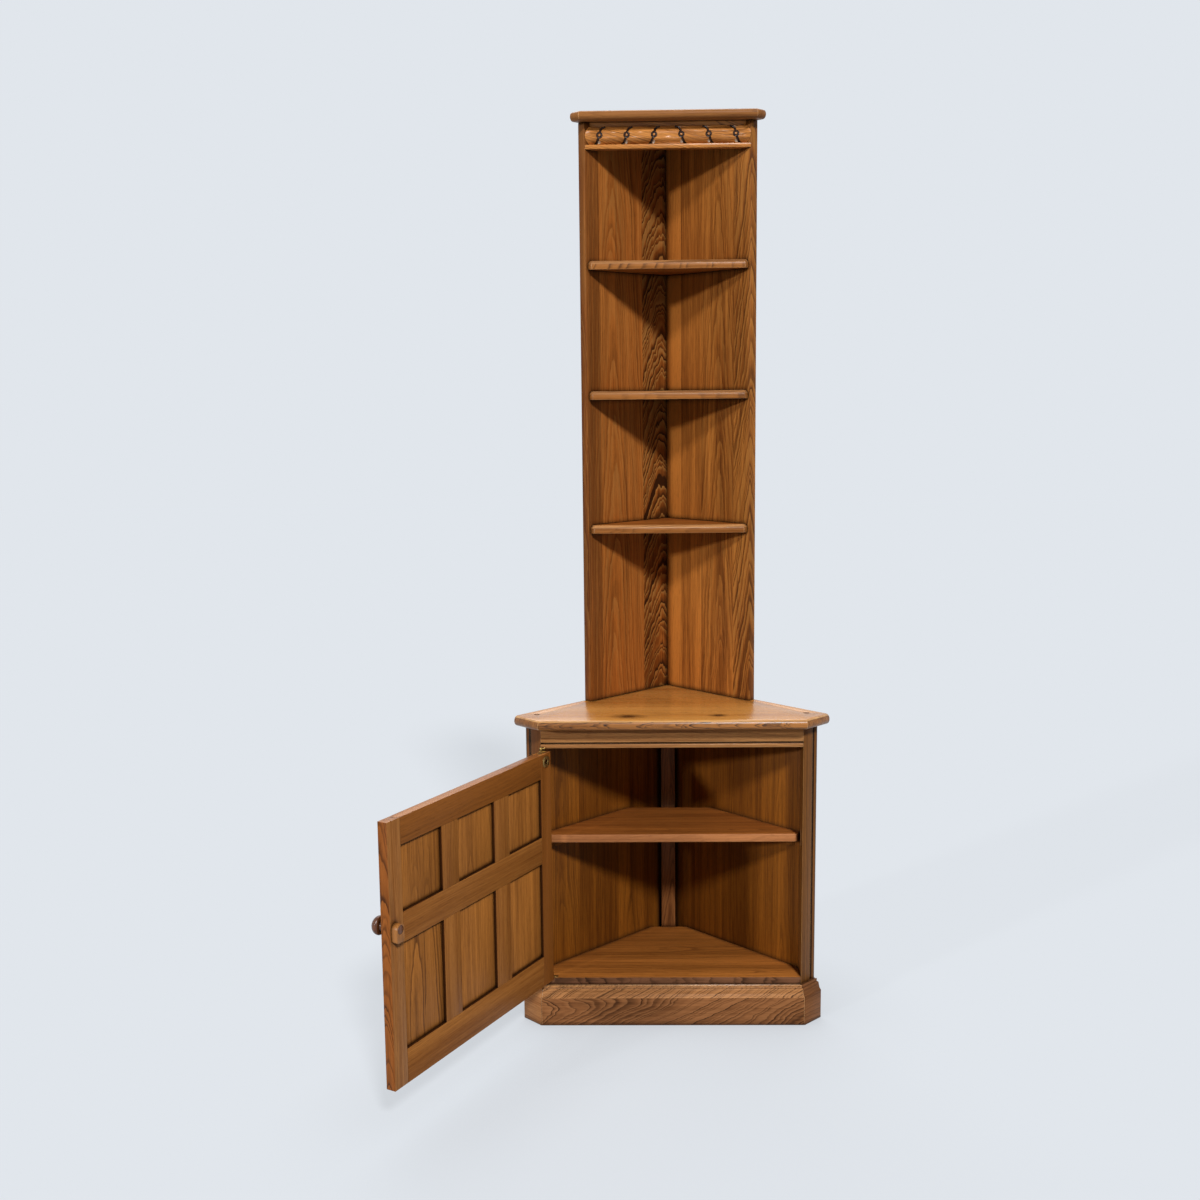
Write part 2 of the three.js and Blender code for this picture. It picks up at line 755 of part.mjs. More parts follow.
function doorMuntin(x, low, high) {
  const half = doorMuntinWidth / 2;
  const core = half - doorGrooveDepth;
  const bottom = low + jointGap;
  const top = high - jointGap;
  return block([x - half, x + half], frameY, [bottom, top])
    .subtract(block([x - half - overrun, x - core], grooveY, [bottom - overrun, top + overrun]))
    .subtract(block([x + core, x + half + overrun], grooveY, [bottom - overrun, top + overrun]))
    .add(block([x - core, x + core], tongueY, [bottom - doorTenon, top + doorTenon]));
}

function catchBore() {
  return crossRod(shankRadius + jointGap, catchX, catchZ, doorFront - overrun, doorBack + overrun);
}

const fittingX = -doorHalf + fittingInset;
const fittingZ = doorHigh - fittingDrop;
const fittingSeat = doorBack + fittingProud - fittingThickness;

function hingeStile() {
  const seat = crossRod(fittingRadius + jointGap, fittingX, fittingZ, fittingSeat, doorBack + overrun);
  const hole = crossRod(
    fittingShankRadius + jointGap,
    fittingX,
    fittingZ,
    fittingSeat - fittingShankLength - jointGap,
    doorBack + overrun,
  );
  return doorStile(-1)
    .subtract(leafPlan(jointGap, topDoorLeaf, doorHigh + overrun))
    .subtract(leafPlan(jointGap, doorLow - overrun, bottomDoorLeaf + hingeLeafThickness))
    .subtract(seat)
    .subtract(hole);
}

place(door, "door_hinge_stile", hingeStile(), elm);
place(door, "door_lock_stile", doorStile(1).subtract(catchBore()), elm);
place(door, "door_bottom_rail", doorRail(doorLow, doorLow + doorBottomRail, false, true), elm);
place(door, "door_middle_rail", doorRail(lowerPanelTop, upperPanelLow, true, true), elm);
place(door, "door_top_rail", doorRail(doorHigh - doorTopRail, doorHigh, true, false), elm);

const panelRows = {
  lower: [doorLow + doorBottomRail, lowerPanelTop],
  upper: [upperPanelLow, doorHigh - doorTopRail],
};
const panelWidth = (2 * stileInner - 2 * doorMuntinWidth) / 3;
const muntinX = (panelWidth + doorMuntinWidth) / 2;
const panelColumns = { hinge: -2 * muntinX, middle: 0, lock: 2 * muntinX };
for (const [row, [low, high]] of Object.entries(panelRows)) {
  place(door, "door_muntin_" + row + "_hinge", doorMuntin(-muntinX, low, high), elm);
  place(door, "door_muntin_" + row + "_lock", doorMuntin(muntinX, low, high), elm);
  for (const [column, x] of Object.entries(panelColumns)) {
    const half = panelWidth / 2 + doorPanelInset;
    const panel = block([x - half, x + half], tongueY, [low - doorPanelInset, high + doorPanelInset]);
    place(door, "door_panel_" + row + "_" + column, panel, elm);
  }
}

// Round brass fitting: a flange let into the stile and a slotted screw in its middle
const screwTop = doorBack + fittingProud;
const screwSlot = block(
  [fittingX - fittingScrewRadius - overrun, fittingX + fittingScrewRadius + overrun],
  [screwTop - fittingSlotDepth, screwTop + overrun],
  [fittingZ - fittingSlotWidth / 2, fittingZ + fittingSlotWidth / 2],
);
const flange = crossRod(fittingRadius, fittingX, fittingZ, fittingSeat, screwTop).subtract(
  crossRod(fittingScrewRadius + jointGap, fittingX, fittingZ, fittingSeat - overrun, screwTop + overrun),
);
const screw = crossRod(fittingScrewRadius, fittingX, fittingZ, fittingSeat, screwTop)
  .add(crossRod(fittingShankRadius, fittingX, fittingZ, fittingSeat - fittingShankLength, screwTop - fittingSlotDepth))
  .subtract(screwSlot);
place(door, "hinge_fitting_flange", flange, brass);
place(door, "hinge_fitting_screw", screw, brass);

// Catch: a turned knob whose shank goes through the lock stile and carries the turn button inside
const buttonBack = doorBack + jointGap;
const buttonFace = buttonBack + buttonThickness;

function knob() {
  const inEnd = doorFront - buttonFace; // measured outwards from the door's face, so it is negative
  const outline = [
    [0, inEnd],
    [shankRadius, inEnd],
    [shankRadius, jointGap],
    [knobNeckRadius, jointGap],
  ];
  for (let step = 0; step <= knobSteps; step += 1) {
    const angle = (Math.PI / 2) * (step / knobSteps);
    outline.push([
      knobNeckRadius + (knobRadius - knobNeckRadius) * Math.sin(angle),
      knobNeckHeight + (knobRimHeight - knobNeckHeight) * (1 - Math.cos(angle)),
    ]);
  }
  for (let step = 1; step < knobSteps; step += 1) {
    const angle = (Math.PI / 2) * (step / knobSteps);
    outline.push([
      knobRadius * Math.cos(angle),
      knobRimHeight + (knobHeight - knobRimHeight) * Math.sin(angle),
    ]);
  }
  outline.push([0, knobHeight]);
  const geometry = new THREE.LatheGeometry(shapeOf(outline).getPoints(), roundSegments);
  return solid(geometry.rotateX(Math.PI).translate(catchX, doorFront, catchZ));
}

function turnButton() {
  const tip = -buttonTongue;
  const shape = new THREE.Shape();
  shape.moveTo(buttonHalfWidth, 0);
  shape.absarc(0, 0, buttonHalfWidth, 0, Math.PI, false);
  shape.lineTo(-buttonHalfWidth, tip + buttonCornerRadius);
  shape.absarc(
    -buttonHalfWidth + buttonCornerRadius, tip + buttonCornerRadius, buttonCornerRadius, Math.PI, 1.5 * Math.PI,
  );
  shape.absarc(
    buttonHalfWidth - buttonCornerRadius, tip + buttonCornerRadius, buttonCornerRadius, 1.5 * Math.PI, 2 * Math.PI,
  );
  shape.closePath();
  const geometry = new THREE.ExtrudeGeometry(shape, {
    depth: buttonThickness,
    bevelEnabled: false,
    curveSegments: knobSteps,
  });
  return solid(geometry.rotateX(Math.PI / 2).translate(catchX, buttonFace, catchZ)).subtract(
    crossRod(shankRadius + jointGap, catchX, catchZ, buttonBack - overrun, buttonFace + overrun),
  );
}

place(door, "knob", knob(), elm);
place(door, "turn_button", turnButton(), elm);

// The door group hangs in a group on the hinge axis, which turns it open
door.position.set(-hingeX, -hingeY, 0);
doorSwing.position.set(hingeX, hingeY, 0);
doorSwing.rotation.z = -doorOpen;
doorSwing.add(door);
cupboard.add(doorSwing);
cupboard.position.y = carcassDepth + (plinthProud - plinthInside) / 2;

export default cupboard;
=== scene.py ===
# A lacquered elm corner cupboard with its door standing open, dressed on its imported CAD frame.
# The file goes up through the object: plinth, lower cupboard, worktop, shelves, frieze and cornice,
# then the door that hangs on it and the brass and turned fittings of the door.

import math
from functools import partial
from typing import NamedTuple

import bmesh
import bpy
from mathutils import Matrix, Vector


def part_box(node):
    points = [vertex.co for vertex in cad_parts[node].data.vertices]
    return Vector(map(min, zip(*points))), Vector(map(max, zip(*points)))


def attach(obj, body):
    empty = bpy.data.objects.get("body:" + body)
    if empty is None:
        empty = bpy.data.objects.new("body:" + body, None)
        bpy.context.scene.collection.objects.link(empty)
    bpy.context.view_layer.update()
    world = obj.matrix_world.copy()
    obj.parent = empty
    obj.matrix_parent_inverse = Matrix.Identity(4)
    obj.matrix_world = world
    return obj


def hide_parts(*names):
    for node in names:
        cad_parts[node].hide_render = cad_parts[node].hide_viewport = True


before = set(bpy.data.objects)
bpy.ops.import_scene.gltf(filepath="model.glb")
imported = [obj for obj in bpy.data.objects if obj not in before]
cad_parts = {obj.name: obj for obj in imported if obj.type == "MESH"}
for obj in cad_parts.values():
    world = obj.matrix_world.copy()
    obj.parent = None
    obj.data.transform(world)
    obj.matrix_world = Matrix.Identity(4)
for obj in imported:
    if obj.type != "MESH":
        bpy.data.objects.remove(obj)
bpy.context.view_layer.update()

# Studio: a pale floor without an edge and three lamps far from the object: a high one from the right, a low
# one from the left, and one behind for the back. The camera stands at chest height, a little to the left.
CAMERA_AT = (-0.09037, -2.82832, 1.35362)  # m
CAMERA_YAW = -0.02039  # radians, to the right
CAMERA_PITCH = -0.14877  # radians, upwards
CAMERA_ROLL = -0.01063  # radians, against the clock
FOCAL_PIXELS = 1381.14
PHOTO_PIXELS = 1200
SENSOR = 36  # mm


def linear(hex_colour):
    """An sRGB hex colour as linear red, green, blue and alpha."""
    parts = [int(hex_colour[i : i + 2], 16) / 255 for i in (1, 3, 5)]
    return tuple(p / 12.92 if p <= 0.04045 else ((p + 0.055) / 1.055) ** 2.4 for p in parts) + (1.0,)


def node(tree, kind, inputs=(), **settings):
    """Adds a node with its settings. Its inputs go by name or in order; each is a value, or a socket to
    link from, or a node whose first output to link from."""
    made = tree.nodes.new(kind)
    for key, value in settings.items():
        setattr(made, key, value)
    for key, value in inputs.items() if isinstance(inputs, dict) else enumerate(inputs):
        if isinstance(value, bpy.types.Node):
            value = value.outputs[0]
        if isinstance(value, bpy.types.NodeSocket):
            tree.links.new(value, made.inputs[key])
        else:
            made.inputs[key].default_value = value
    return made


camera_data = bpy.data.cameras.new("studio_camera")
camera_data.sensor_width = SENSOR
camera_data.lens = FOCAL_PIXELS / PHOTO_PIXELS * SENSOR
camera = bpy.data.objects.new("studio_camera", camera_data)
bpy.context.scene.collection.objects.link(camera)
right = Vector((math.cos(CAMERA_YAW), -math.sin(CAMERA_YAW), 0))
ahead = Vector((math.sin(CAMERA_YAW), math.cos(CAMERA_YAW), 0))
forward = ahead * math.cos(CAMERA_PITCH) + Vector((0, 0, 1)) * math.sin(CAMERA_PITCH)
above = Vector((0, 0, 1)) * math.cos(CAMERA_PITCH) - ahead * math.sin(CAMERA_PITCH)
rolled_right = right * math.cos(CAMERA_ROLL) + above * math.sin(CAMERA_ROLL)
rolled_above = above * math.cos(CAMERA_ROLL) - right * math.sin(CAMERA_ROLL)
camera_turn = Matrix((rolled_right, rolled_above, -forward)).transposed()
camera.matrix_world = Matrix.Translation(CAMERA_AT) @ camera_turn.to_4x4()
bpy.context.scene.camera = camera


class Lamp(NamedTuple):
    """A lamp so far away that its light comes from one direction."""

    name: str
    to_right: float  # degrees to the right of straight on
    up: float  # degrees over the floor
    strength: float
    width: float  # how wide it looks from the object, in degrees


LAMPS = (
    Lamp("high_right_lamp", to_right=16, up=38.4, strength=2.75, width=7),
    Lamp("low_left_lamp", to_right=-48, up=15.7, strength=1.1, width=4),
    Lamp("back_lamp", to_right=185, up=50, strength=0.8, width=45),
)
BACKGROUND = "#E1E6EC"
SKY = 0.07  # strength of the even light from all round
SHADOW_SHARE = 0.2  # how much of the ground's look comes from the lamps
PAINTED_CONTACT_SHADOW_SHARE = 0.4  # how much darker the ground is right under the object, a painted contact shadow
CONTACT_REACH = 0.3  # m
BOUNCE_SHARE = 0.5  # how much of the light on the ground comes back to the object
FLOOR_REACH = 14.0  # m


def scaled(colour, factor):
    """A linear colour made darker or lighter."""
    return tuple(channel * factor for channel in colour[:3]) + (1.0,)


def seen(add):
    """A node that gives 1 to the camera's rays, straight or reflected, and 0 to light on its way."""
    ray = add("ShaderNodeLightPath")
    rays = (ray.outputs["Is Camera Ray"], ray.outputs["Is Glossy Ray"])
    return add("ShaderNodeMath", rays, operation="MAXIMUM")


def pale_ground(name):
    """Matt ground. To the camera it is the background colour, a little darker in a shadow, and darker near
    the object by a painted contact shadow. To the object it is a plain matt floor that throws some light
    back."""
    light_on_ground = SKY + sum(lamp.strength * math.sin(math.radians(lamp.up)) for lamp in LAMPS) / math.pi
    pale = linear(BACKGROUND)
    made = bpy.data.materials.new(name)
    made.use_nodes = True
    tree = made.node_tree
    add = partial(node, tree)
    tree.nodes.remove(tree.nodes["Principled BSDF"])
    matt = add("ShaderNodeBsdfDiffuse", {"Color": scaled(pale, BOUNCE_SHARE)})
    # painted contact shadow: the ground is darkened near the object by how closed in it is
    near = add("ShaderNodeAmbientOcclusion", {"Distance": CONTACT_REACH}, samples=8)
    under_object = scaled(pale, (1 - SHADOW_SHARE) * (1 - PAINTED_CONTACT_SHADOW_SHARE))
    in_open = scaled(pale, 1 - SHADOW_SHARE)
    closeness = {"Factor": near.outputs["AO"], "A": under_object, "B": in_open}
    contact = add("ShaderNodeMix", closeness, data_type="RGBA")
    even = add("ShaderNodeEmission", {"Color": contact.outputs["Result"], "Strength": 1.0})
    shaded = add("ShaderNodeBsdfDiffuse", {"Color": scaled(pale, SHADOW_SHARE / light_on_ground)})
    shown = add("ShaderNodeAddShader", (even, shaded))
    mixed = add("ShaderNodeMixShader", (seen(add), matt, shown))
    tree.links.new(mixed.outputs[0], tree.nodes["Material Output"].inputs["Surface"])
    return made


floor_mesh = bpy.data.meshes.new("studio_floor")
floor_corners = [(x * FLOOR_REACH, y * FLOOR_REACH, 0) for x, y in ((-1, -1), (1, -1), (1, 1), (-1, 1))]
floor_mesh.from_pydata(floor_corners, [], [(0, 1, 2, 3)])
floor = bpy.data.objects.new("studio_floor", floor_mesh)
bpy.context.scene.collection.objects.link(floor)
floor_mesh.materials.append(pale_ground("matt studio floor"))

world = bpy.data.worlds.new("studio")
bpy.context.scene.world = world
world.use_nodes = True
world.node_tree.nodes.clear()
add = partial(node, world.node_tree)
surround = add("ShaderNodeBackground", {"Color": (1, 1, 1, 1), "Strength": SKY})
backdrop = add("ShaderNodeBackground", {"Color": linear(BACKGROUND), "Strength": 1.0})
sky = add("ShaderNodeMixShader", (seen(add), surround, backdrop))
add("ShaderNodeOutputWorld", {"Surface": sky})

for lamp in LAMPS:
    light = bpy.data.lights.new(lamp.name, "SUN")
    light.energy = lamp.strength
    light.angle = math.radians(lamp.width)
    hung = bpy.data.objects.new(lamp.name, light)
    bpy.context.scene.collection.objects.link(hung)
    bearing, height = math.radians(lamp.to_right), math.radians(lamp.up)
    level = math.cos(height)
    coming_from = Vector((math.sin(bearing) * level, -math.cos(bearing) * level, math.sin(height)))
    hung.rotation_euler = coming_from.to_track_quat("Z", "Y").to_euler()
bpy.context.scene.view_settings.view_transform = "Standard"

# Plinth: moulded elm boards mitred at the two front corners, with square rails along the walls
# and glue blocks inside. The front shows bold sweeping arches, where the board was cut near the tree's
# middle, under a warm satin lacquer.
MM = 0.001
UP = Vector((0, 0, 1))
ALONG = Vector((1, 0, 0))
INWARD = Vector((0, 1, 0))  # towards the corner of the room

RING_PROFILE = (
    (0.0, 0.55), (0.06, 1.0), (0.16, 0.9), (0.34, 0.3), (0.6, 0.05), (0.9, 0.08), (1.0, 0.3)
)  # darkness across one growth ring, from the open early wood to the dense late wood
TONE_LAYERS = (
    (700, 34, 1.0, 1.1),  # broad shades
    (420, 10, 2.0, 1.2),  # long soft streaks
    (230, 3.2, 2.0, 0.85),  # finer lines
    (46, 1.9, 2.0, 0.9),  # fibres
)  # length and width in mm, detail, and strength of the layers that vary a board's tone
WANDER = (260, 110, 1.0)  # length, width and detail of the bends in the tree's middle
WAVES = (34, 13, 2.0)  # the same of the waves in the ring lines
WAVE_HEIGHT = 5.0  # mm
YEAR_PACE = 0.45  # how quickly good years turn into bad ones
YEAR_SPREAD = 3.0  # how far that shifts the rings, in rings
FAINTEST_YEAR = 0.35  # darkness of the faintest ring, as a share of the darkest
SWAY_REACH = (4, 2)  # how far the tree's middle strays sideways and in depth, in sways
PIECE_STEP, BOARD_STEP = 17.3, 5.7  # how far apart in the noise two seeds and two boards lie
LATE_WOOD = (0.5, 1.6, 0.55)  # where in the ring it starts, how fast it grows, and its strength
PORES = (14, 1.2, 1.0)  # and of the pores
PORE_LIMIT = 0.55  # how much of the noise stays free of pores
PORE_CONTRAST = 4.5
PORE_SHARES = (0.26, 0.5)  # strength of the pores between the ring lines, and what a ring line adds
PORE_COLOUR = "#2E1608"
# colour of the old staining and painted shade along a door panel's edges
PANEL_STAIN_AND_SHADE = "#35190A"
EDGE_DARK_GRAIN = (40, 12, 2.0)  # and of the ragged outline of the darkened band round a panel
EDGE_DARK_RAGGED = 4.0  # how far that outline wanders, mm
EDGE_DARK_AT_EDGE = 0.72
EDGE_DARK_FALL = 0.11  # for each mm from the edge
CORNER_REACH = 12.0  # how far old staining and polish gather, and painted shade reaches, from an inside corner, mm
CORNER_POLISH_AND_SHADE = (1.45, 1.6)  # strength in the corner, and how much an open place takes from it
GLOSS_UNEVEN = (0.16, 0.3)  # how much streaks and pores change the roughness
SUNK = (1.0, 0.3)  # depth of the pores and of the ring lines, as shares of the finish's thickness
FINISH_THICK = 0.12  # mm


def set_stops(ramp, stops):
    """Gives a ramp its stops, in order: the place and the grey level of each."""
    while len(ramp.elements) < len(stops):
        ramp.elements.new(1.0)
    for element, (position, grey) in zip(ramp.elements, stops):
        element.position = position
        element.color = (grey, grey, grey, 1)


class Board(NamedTuple):
    """One board, as the sawyer cut it."""

    width: float  # mm
    pith: float = 0.5  # place of the tree's middle, as a share of the width
    ring: float = 6.0  # width of a growth ring, mm
    slope: float = 0.03  # how fast the rings run out along the board
    figure: float = 0.5  # how strongly the ring lines show
    tone: float = 0.5  # from light, 0, to deep, 1
    ripple: float = 0.6  # how high the waves in the ring lines are, as a share of WAVE_HEIGHT
    depth: float = 18.0  # how far the tree's middle lies under the face, mm


def elm(
    finish,
    cad_node,
    grain,
    across,
    seed,
    part=None,
    boards=(Board(100),),
    light="#A4602A",
    deep="#7A4318",
    lines="#45200B",
    pale=None,
    sway=9.0,
    drift=0.0,
    stain=None,
    roughness=0.42,
    shine=0.1,
    corners="#1E0E05",
):
    """Satin lacquered elm: warm brown with long dark lines, pointed arches and short dashes of open pores.
    Growth rings are cones about the tree's middle, cut by the face. Boards are listed across the piece, and
    sway and drift move the tree's middle. Light, deep, lines and pale colour the body, the ring lines and
    the late wood. stain gives the half length and half width of a panel whose edges are
    darkened by old staining and painted shade, in mm, and corners the colour of the old polish and painted
    shade in inside corners. Part names the faces with this look, if not all."""
    called = cad_node.replace("_", " ")
    made = bpy.data.materials.new(f"{finish}, {part} of the {called}" if part else f"{finish}, {called}")
    made.use_nodes = True
    tree = made.node_tree
    add = partial(node, tree)
    shader = tree.nodes["Principled BSDF"]
    grain = Vector(grain).normalized()
    across = Vector(across).normalized()
    turn = Matrix((grain, across, grain.cross(across)))
    low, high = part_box(cad_node)
    middle = turn @ ((low + high) / 2 / MM)
    place = add("ShaderNodeTexCoord")
    move = {"Location": tuple(-middle), "Rotation": tuple(turn.to_euler()), "Scale": (1 / MM,) * 3}
    turned = add("ShaderNodeMapping", {"Vector": place.outputs["Object"]} | move)
    # from here the three coordinates are in mm from the middle of the piece
    along, sideways, inward = add("ShaderNodeSeparateXYZ", (turned,)).outputs

    total = sum(board.width for board in boards)
    starts = [sum(board.width for board in boards[:index]) for index in range(len(boards))]
    share_across = add("ShaderNodeMath", (sideways, 1 / total, 0.5), operation="MULTIPLY_ADD")

    def by_board(numbers):
        """The number that belongs to the board under a point."""
        least, span = min(numbers), max(numbers) - min(numbers)
        if span == 0:
            return float(least)
        steps = add("ShaderNodeValToRGB", (share_across,))
        steps.color_ramp.interpolation = "CONSTANT"
        set_stops(
            steps.color_ramp,
            [(start / total, (number - least) / span) for start, number in zip(starts, numbers)],
        )
        return add("ShaderNodeMath", (steps, span, least), operation="MULTIPLY_ADD")

    pith = by_board([start + board.pith * board.width - total / 2 for start, board in zip(starts, boards)])
    ring = by_board([board.ring for board in boards])
    slope = by_board([board.slope for board in boards])
    figure = by_board([board.figure for board in boards])
    board_tone = by_board([board.tone for board in boards])
    ripple = by_board([board.ripple for board in boards])
    depth = by_board([board.depth for board in boards])
    shift = by_board([seed * PIECE_STEP + index * BOARD_STEP for index in range(len(boards))])

    def grown(length, width, detail):
        """Noise drawn out along the grain, with a length and a width in mm."""
        lengthways = add("ShaderNodeMath", (along, 1 / length, shift), operation="MULTIPLY_ADD")
        crossways = add("ShaderNodeMath", (sideways, 1 / width), operation="MULTIPLY")
        deep_down = add("ShaderNodeMath", (inward, 1 / width), operation="MULTIPLY")
        spot = add("ShaderNodeCombineXYZ", (lengthways, crossways, deep_down))
        settings = {"Vector": spot, "Scale": 1.0, "Detail": detail, "Roughness": 0.5}
        return add("ShaderNodeTexNoise", settings)

    def about_zero(value, size):
        """Noise from 0 to 1, moved to lie about zero and given a size."""
        return add("ShaderNodeMath", (value, size, -size / 2), operation="MULTIPLY_ADD")

    # growth rings: the distance from the wandering middle of the tree, counted in rings
    wander = add("ShaderNodeSeparateColor", (grown(*WANDER).outputs["Color"],))
    off_pith = add("ShaderNodeMath", (sideways, pith), operation="SUBTRACT")
    aside = about_zero(wander.outputs[0], SWAY_REACH[0] * sway)
    off_pith = add("ShaderNodeMath", (off_pith, aside), operation="ADD")
    off_pith = add("ShaderNodeMath", (along, -drift, off_pith), operation="MULTIPLY_ADD")
    below = add("ShaderNodeMath", (inward, depth), operation="ADD")
    deeper = about_zero(wander.outputs[1], SWAY_REACH[1] * sway)
    below = add("ShaderNodeMath", (below, deeper), operation="ADD")
    from_middle = add("ShaderNodeCombineXYZ", (off_pith, below))
    radius = add("ShaderNodeVectorMath", (from_middle,), operation="LENGTH").outputs["Value"]
    radius = add("ShaderNodeMath", (along, slope, radius), operation="MULTIPLY_ADD")
    waves = about_zero(grown(*WAVES), WAVE_HEIGHT)
    radius = add("ShaderNodeMath", (waves, ripple, radius), operation="MULTIPLY_ADD")
    counted = add("ShaderNodeMath", (radius, ring), operation="DIVIDE")
    rings = add("ShaderNodeMath", (counted, shift), operation="ADD")

    # good and bad years: rings of uneven width, and uneven darkness
    slow = add("ShaderNodeMath", (rings, YEAR_PACE), operation="MULTIPLY")
    year_noise = {"W": slow, "Scale": 1.0, "Detail": 1.0}
    years = add("ShaderNodeTexNoise", year_noise, noise_dimensions="1D")
    rings = add("ShaderNodeMath", (rings, about_zero(years, YEAR_SPREAD)), operation="ADD")
    within_ring = add("ShaderNodeMath", (rings,), operation="FRACT")
    whole = add("ShaderNodeMath", (rings,), operation="FLOOR")
    year = add("ShaderNodeTexWhiteNoise", {"W": whole}, noise_dimensions="1D")
    early_wood = add("ShaderNodeValToRGB", (within_ring,))
    set_stops(early_wood.color_ramp, RING_PROFILE)
    from_faintest = (year, 1 - FAINTEST_YEAR, FAINTEST_YEAR)
    year_share = add("ShaderNodeMath", from_faintest, operation="MULTIPLY_ADD")
    line_share = add("ShaderNodeMath", (early_wood, year_share), operation="MULTIPLY")
    line_share = add("ShaderNodeMath", (line_share, figure), operation="MULTIPLY", use_clamp=True)

    # body colour: the board's own tone, varied by the layers
    layers = [grown(length, width, detail) for length, width, detail, _ in TONE_LAYERS]
    tone = board_tone
    for layer, (_, _, _, strength) in zip(layers, TONE_LAYERS):
        varied = (tone, about_zero(layer, strength))
        tone = add("ShaderNodeMath", varied, operation="ADD", use_clamp=layer is layers[-1])
    ends = {"Factor": tone, "A": linear(light), "B": linear(deep)}
    result = add("ShaderNodeMix", ends, data_type="RGBA").outputs["Result"]

    # late wood: the dense end of a growth ring, smooth and paler
    late_start, late_growth, late_paleness = LATE_WOOD
    late = add("ShaderNodeMath", (within_ring, late_start), operation="SUBTRACT")
    late = add("ShaderNodeMath", (late, late_growth), operation="MULTIPLY", use_clamp=True)
    late_strength = add("ShaderNodeMath", (figure, late_paleness), operation="MULTIPLY")
    late = add("ShaderNodeMath", (late, late_strength), operation="MULTIPLY", use_clamp=True)

    # pores: short dark dashes of the early wood. Real ones are about 0.3 mm wide and 5 mm long, too fine to
    # show, so they are drawn 1.2 mm wide and 14 mm long.
    dashes = add("ShaderNodeMath", (grown(*PORES), PORE_LIMIT), operation="SUBTRACT")
    dashes = add("ShaderNodeMath", (dashes, PORE_CONTRAST), operation="MULTIPLY", use_clamp=True)
    between, on_lines = PORE_SHARES
    pore_share = add("ShaderNodeMath", (line_share, on_lines, between), operation="MULTIPLY_ADD")
    pores = add("ShaderNodeMath", (dashes, pore_share), operation="MULTIPLY")
    marks = [(late, pale or light), (line_share, lines), (pores, PORE_COLOUR)]
    if stain:
        # old staining and painted shade gather along the edges of a panel, about 6 mm wide
        half_length, half_width = stain
        out_along = add("ShaderNodeMath", (along,), operation="ABSOLUTE")
        out_sideways = add("ShaderNodeMath", (sideways,), operation="ABSOLUTE")
        to_end = add("ShaderNodeMath", (half_length, out_along), operation="SUBTRACT")
        to_side = add("ShaderNodeMath", (half_width, out_sideways), operation="SUBTRACT")
        to_edge = add("ShaderNodeMath", (to_end, to_side), operation="MINIMUM")
        ragged = (to_edge, about_zero(grown(*EDGE_DARK_GRAIN), EDGE_DARK_RAGGED))
        to_edge = add("ShaderNodeMath", ragged, operation="ADD")
        falling = (to_edge, -EDGE_DARK_FALL, EDGE_DARK_AT_EDGE)
        stained = add("ShaderNodeMath", falling, operation="MULTIPLY_ADD", use_clamp=True)
        marks.append((stained, PANEL_STAIN_AND_SHADE))
    # old polish and painted shade: inside corners are darkened by how closed in they are
    if corners:
        open_sky = add("ShaderNodeAmbientOcclusion", {"Distance": CORNER_REACH * MM}, samples=6)
        falling = (open_sky.outputs["AO"], -CORNER_POLISH_AND_SHADE[1], CORNER_POLISH_AND_SHADE[0])
        polish_and_painted_shade = add("ShaderNodeMath", falling, operation="MULTIPLY_ADD", use_clamp=True)
        marks.append((polish_and_painted_shade, corners))
    for share, colour in marks:
        marked = {"Factor": share, "A": result, "B": linear(colour)}
        result = add("ShaderNodeMix", marked, data_type="RGBA").outputs["Result"]
    tree.links.new(result, shader.inputs["Base Color"])

    # the lacquer is a little rougher over streaks and pores, and sinks into pores and early wood
    streaks = layers[1]
    by_streaks, by_pores = GLOSS_UNEVEN
    rough = add("ShaderNodeMath", (pores, by_pores, roughness), operation="MULTIPLY_ADD")
    rough = add("ShaderNodeMath", (about_zero(streaks, by_streaks), rough), operation="ADD")
    tree.links.new(rough.outputs[0], shader.inputs["Roughness"])
    sunk = add("ShaderNodeMath", (line_share, -SUNK[1]), operation="MULTIPLY")
    sunk = add("ShaderNodeMath", (pores, -SUNK[0], sunk), operation="MULTIPLY_ADD")
    bump = add("ShaderNodeBump", {"Height": sunk, "Strength": 0.3, "Distance": FINISH_THICK * MM})
    tree.links.new(bump.outputs[0], shader.inputs["Normal"])
    shader.inputs["Specular IOR Level"].default_value = shine
    return made


WELD = 0.01 * MM  # the CAD solids are loose triangles, whose corners closer than this are one
FLAT_ANGLE = math.radians(0.5)  # triangles that meet flatter than this are one face
SHARP_ANGLE = math.radians(38)  # edges sharper than this are eased
SMOOTH_ANGLE = math.radians(35)  # edges flatter than this are shaded smooth


def baked(piece):
    """The piece's mesh with its modifiers worked in, which it then no longer needs."""
    bpy.context.view_layer.update()
    result = bpy.data.meshes.new_from_object(piece.evaluated_get(bpy.context.evaluated_depsgraph_get()))
    piece.modifiers.clear()
    piece.data = result
    return result


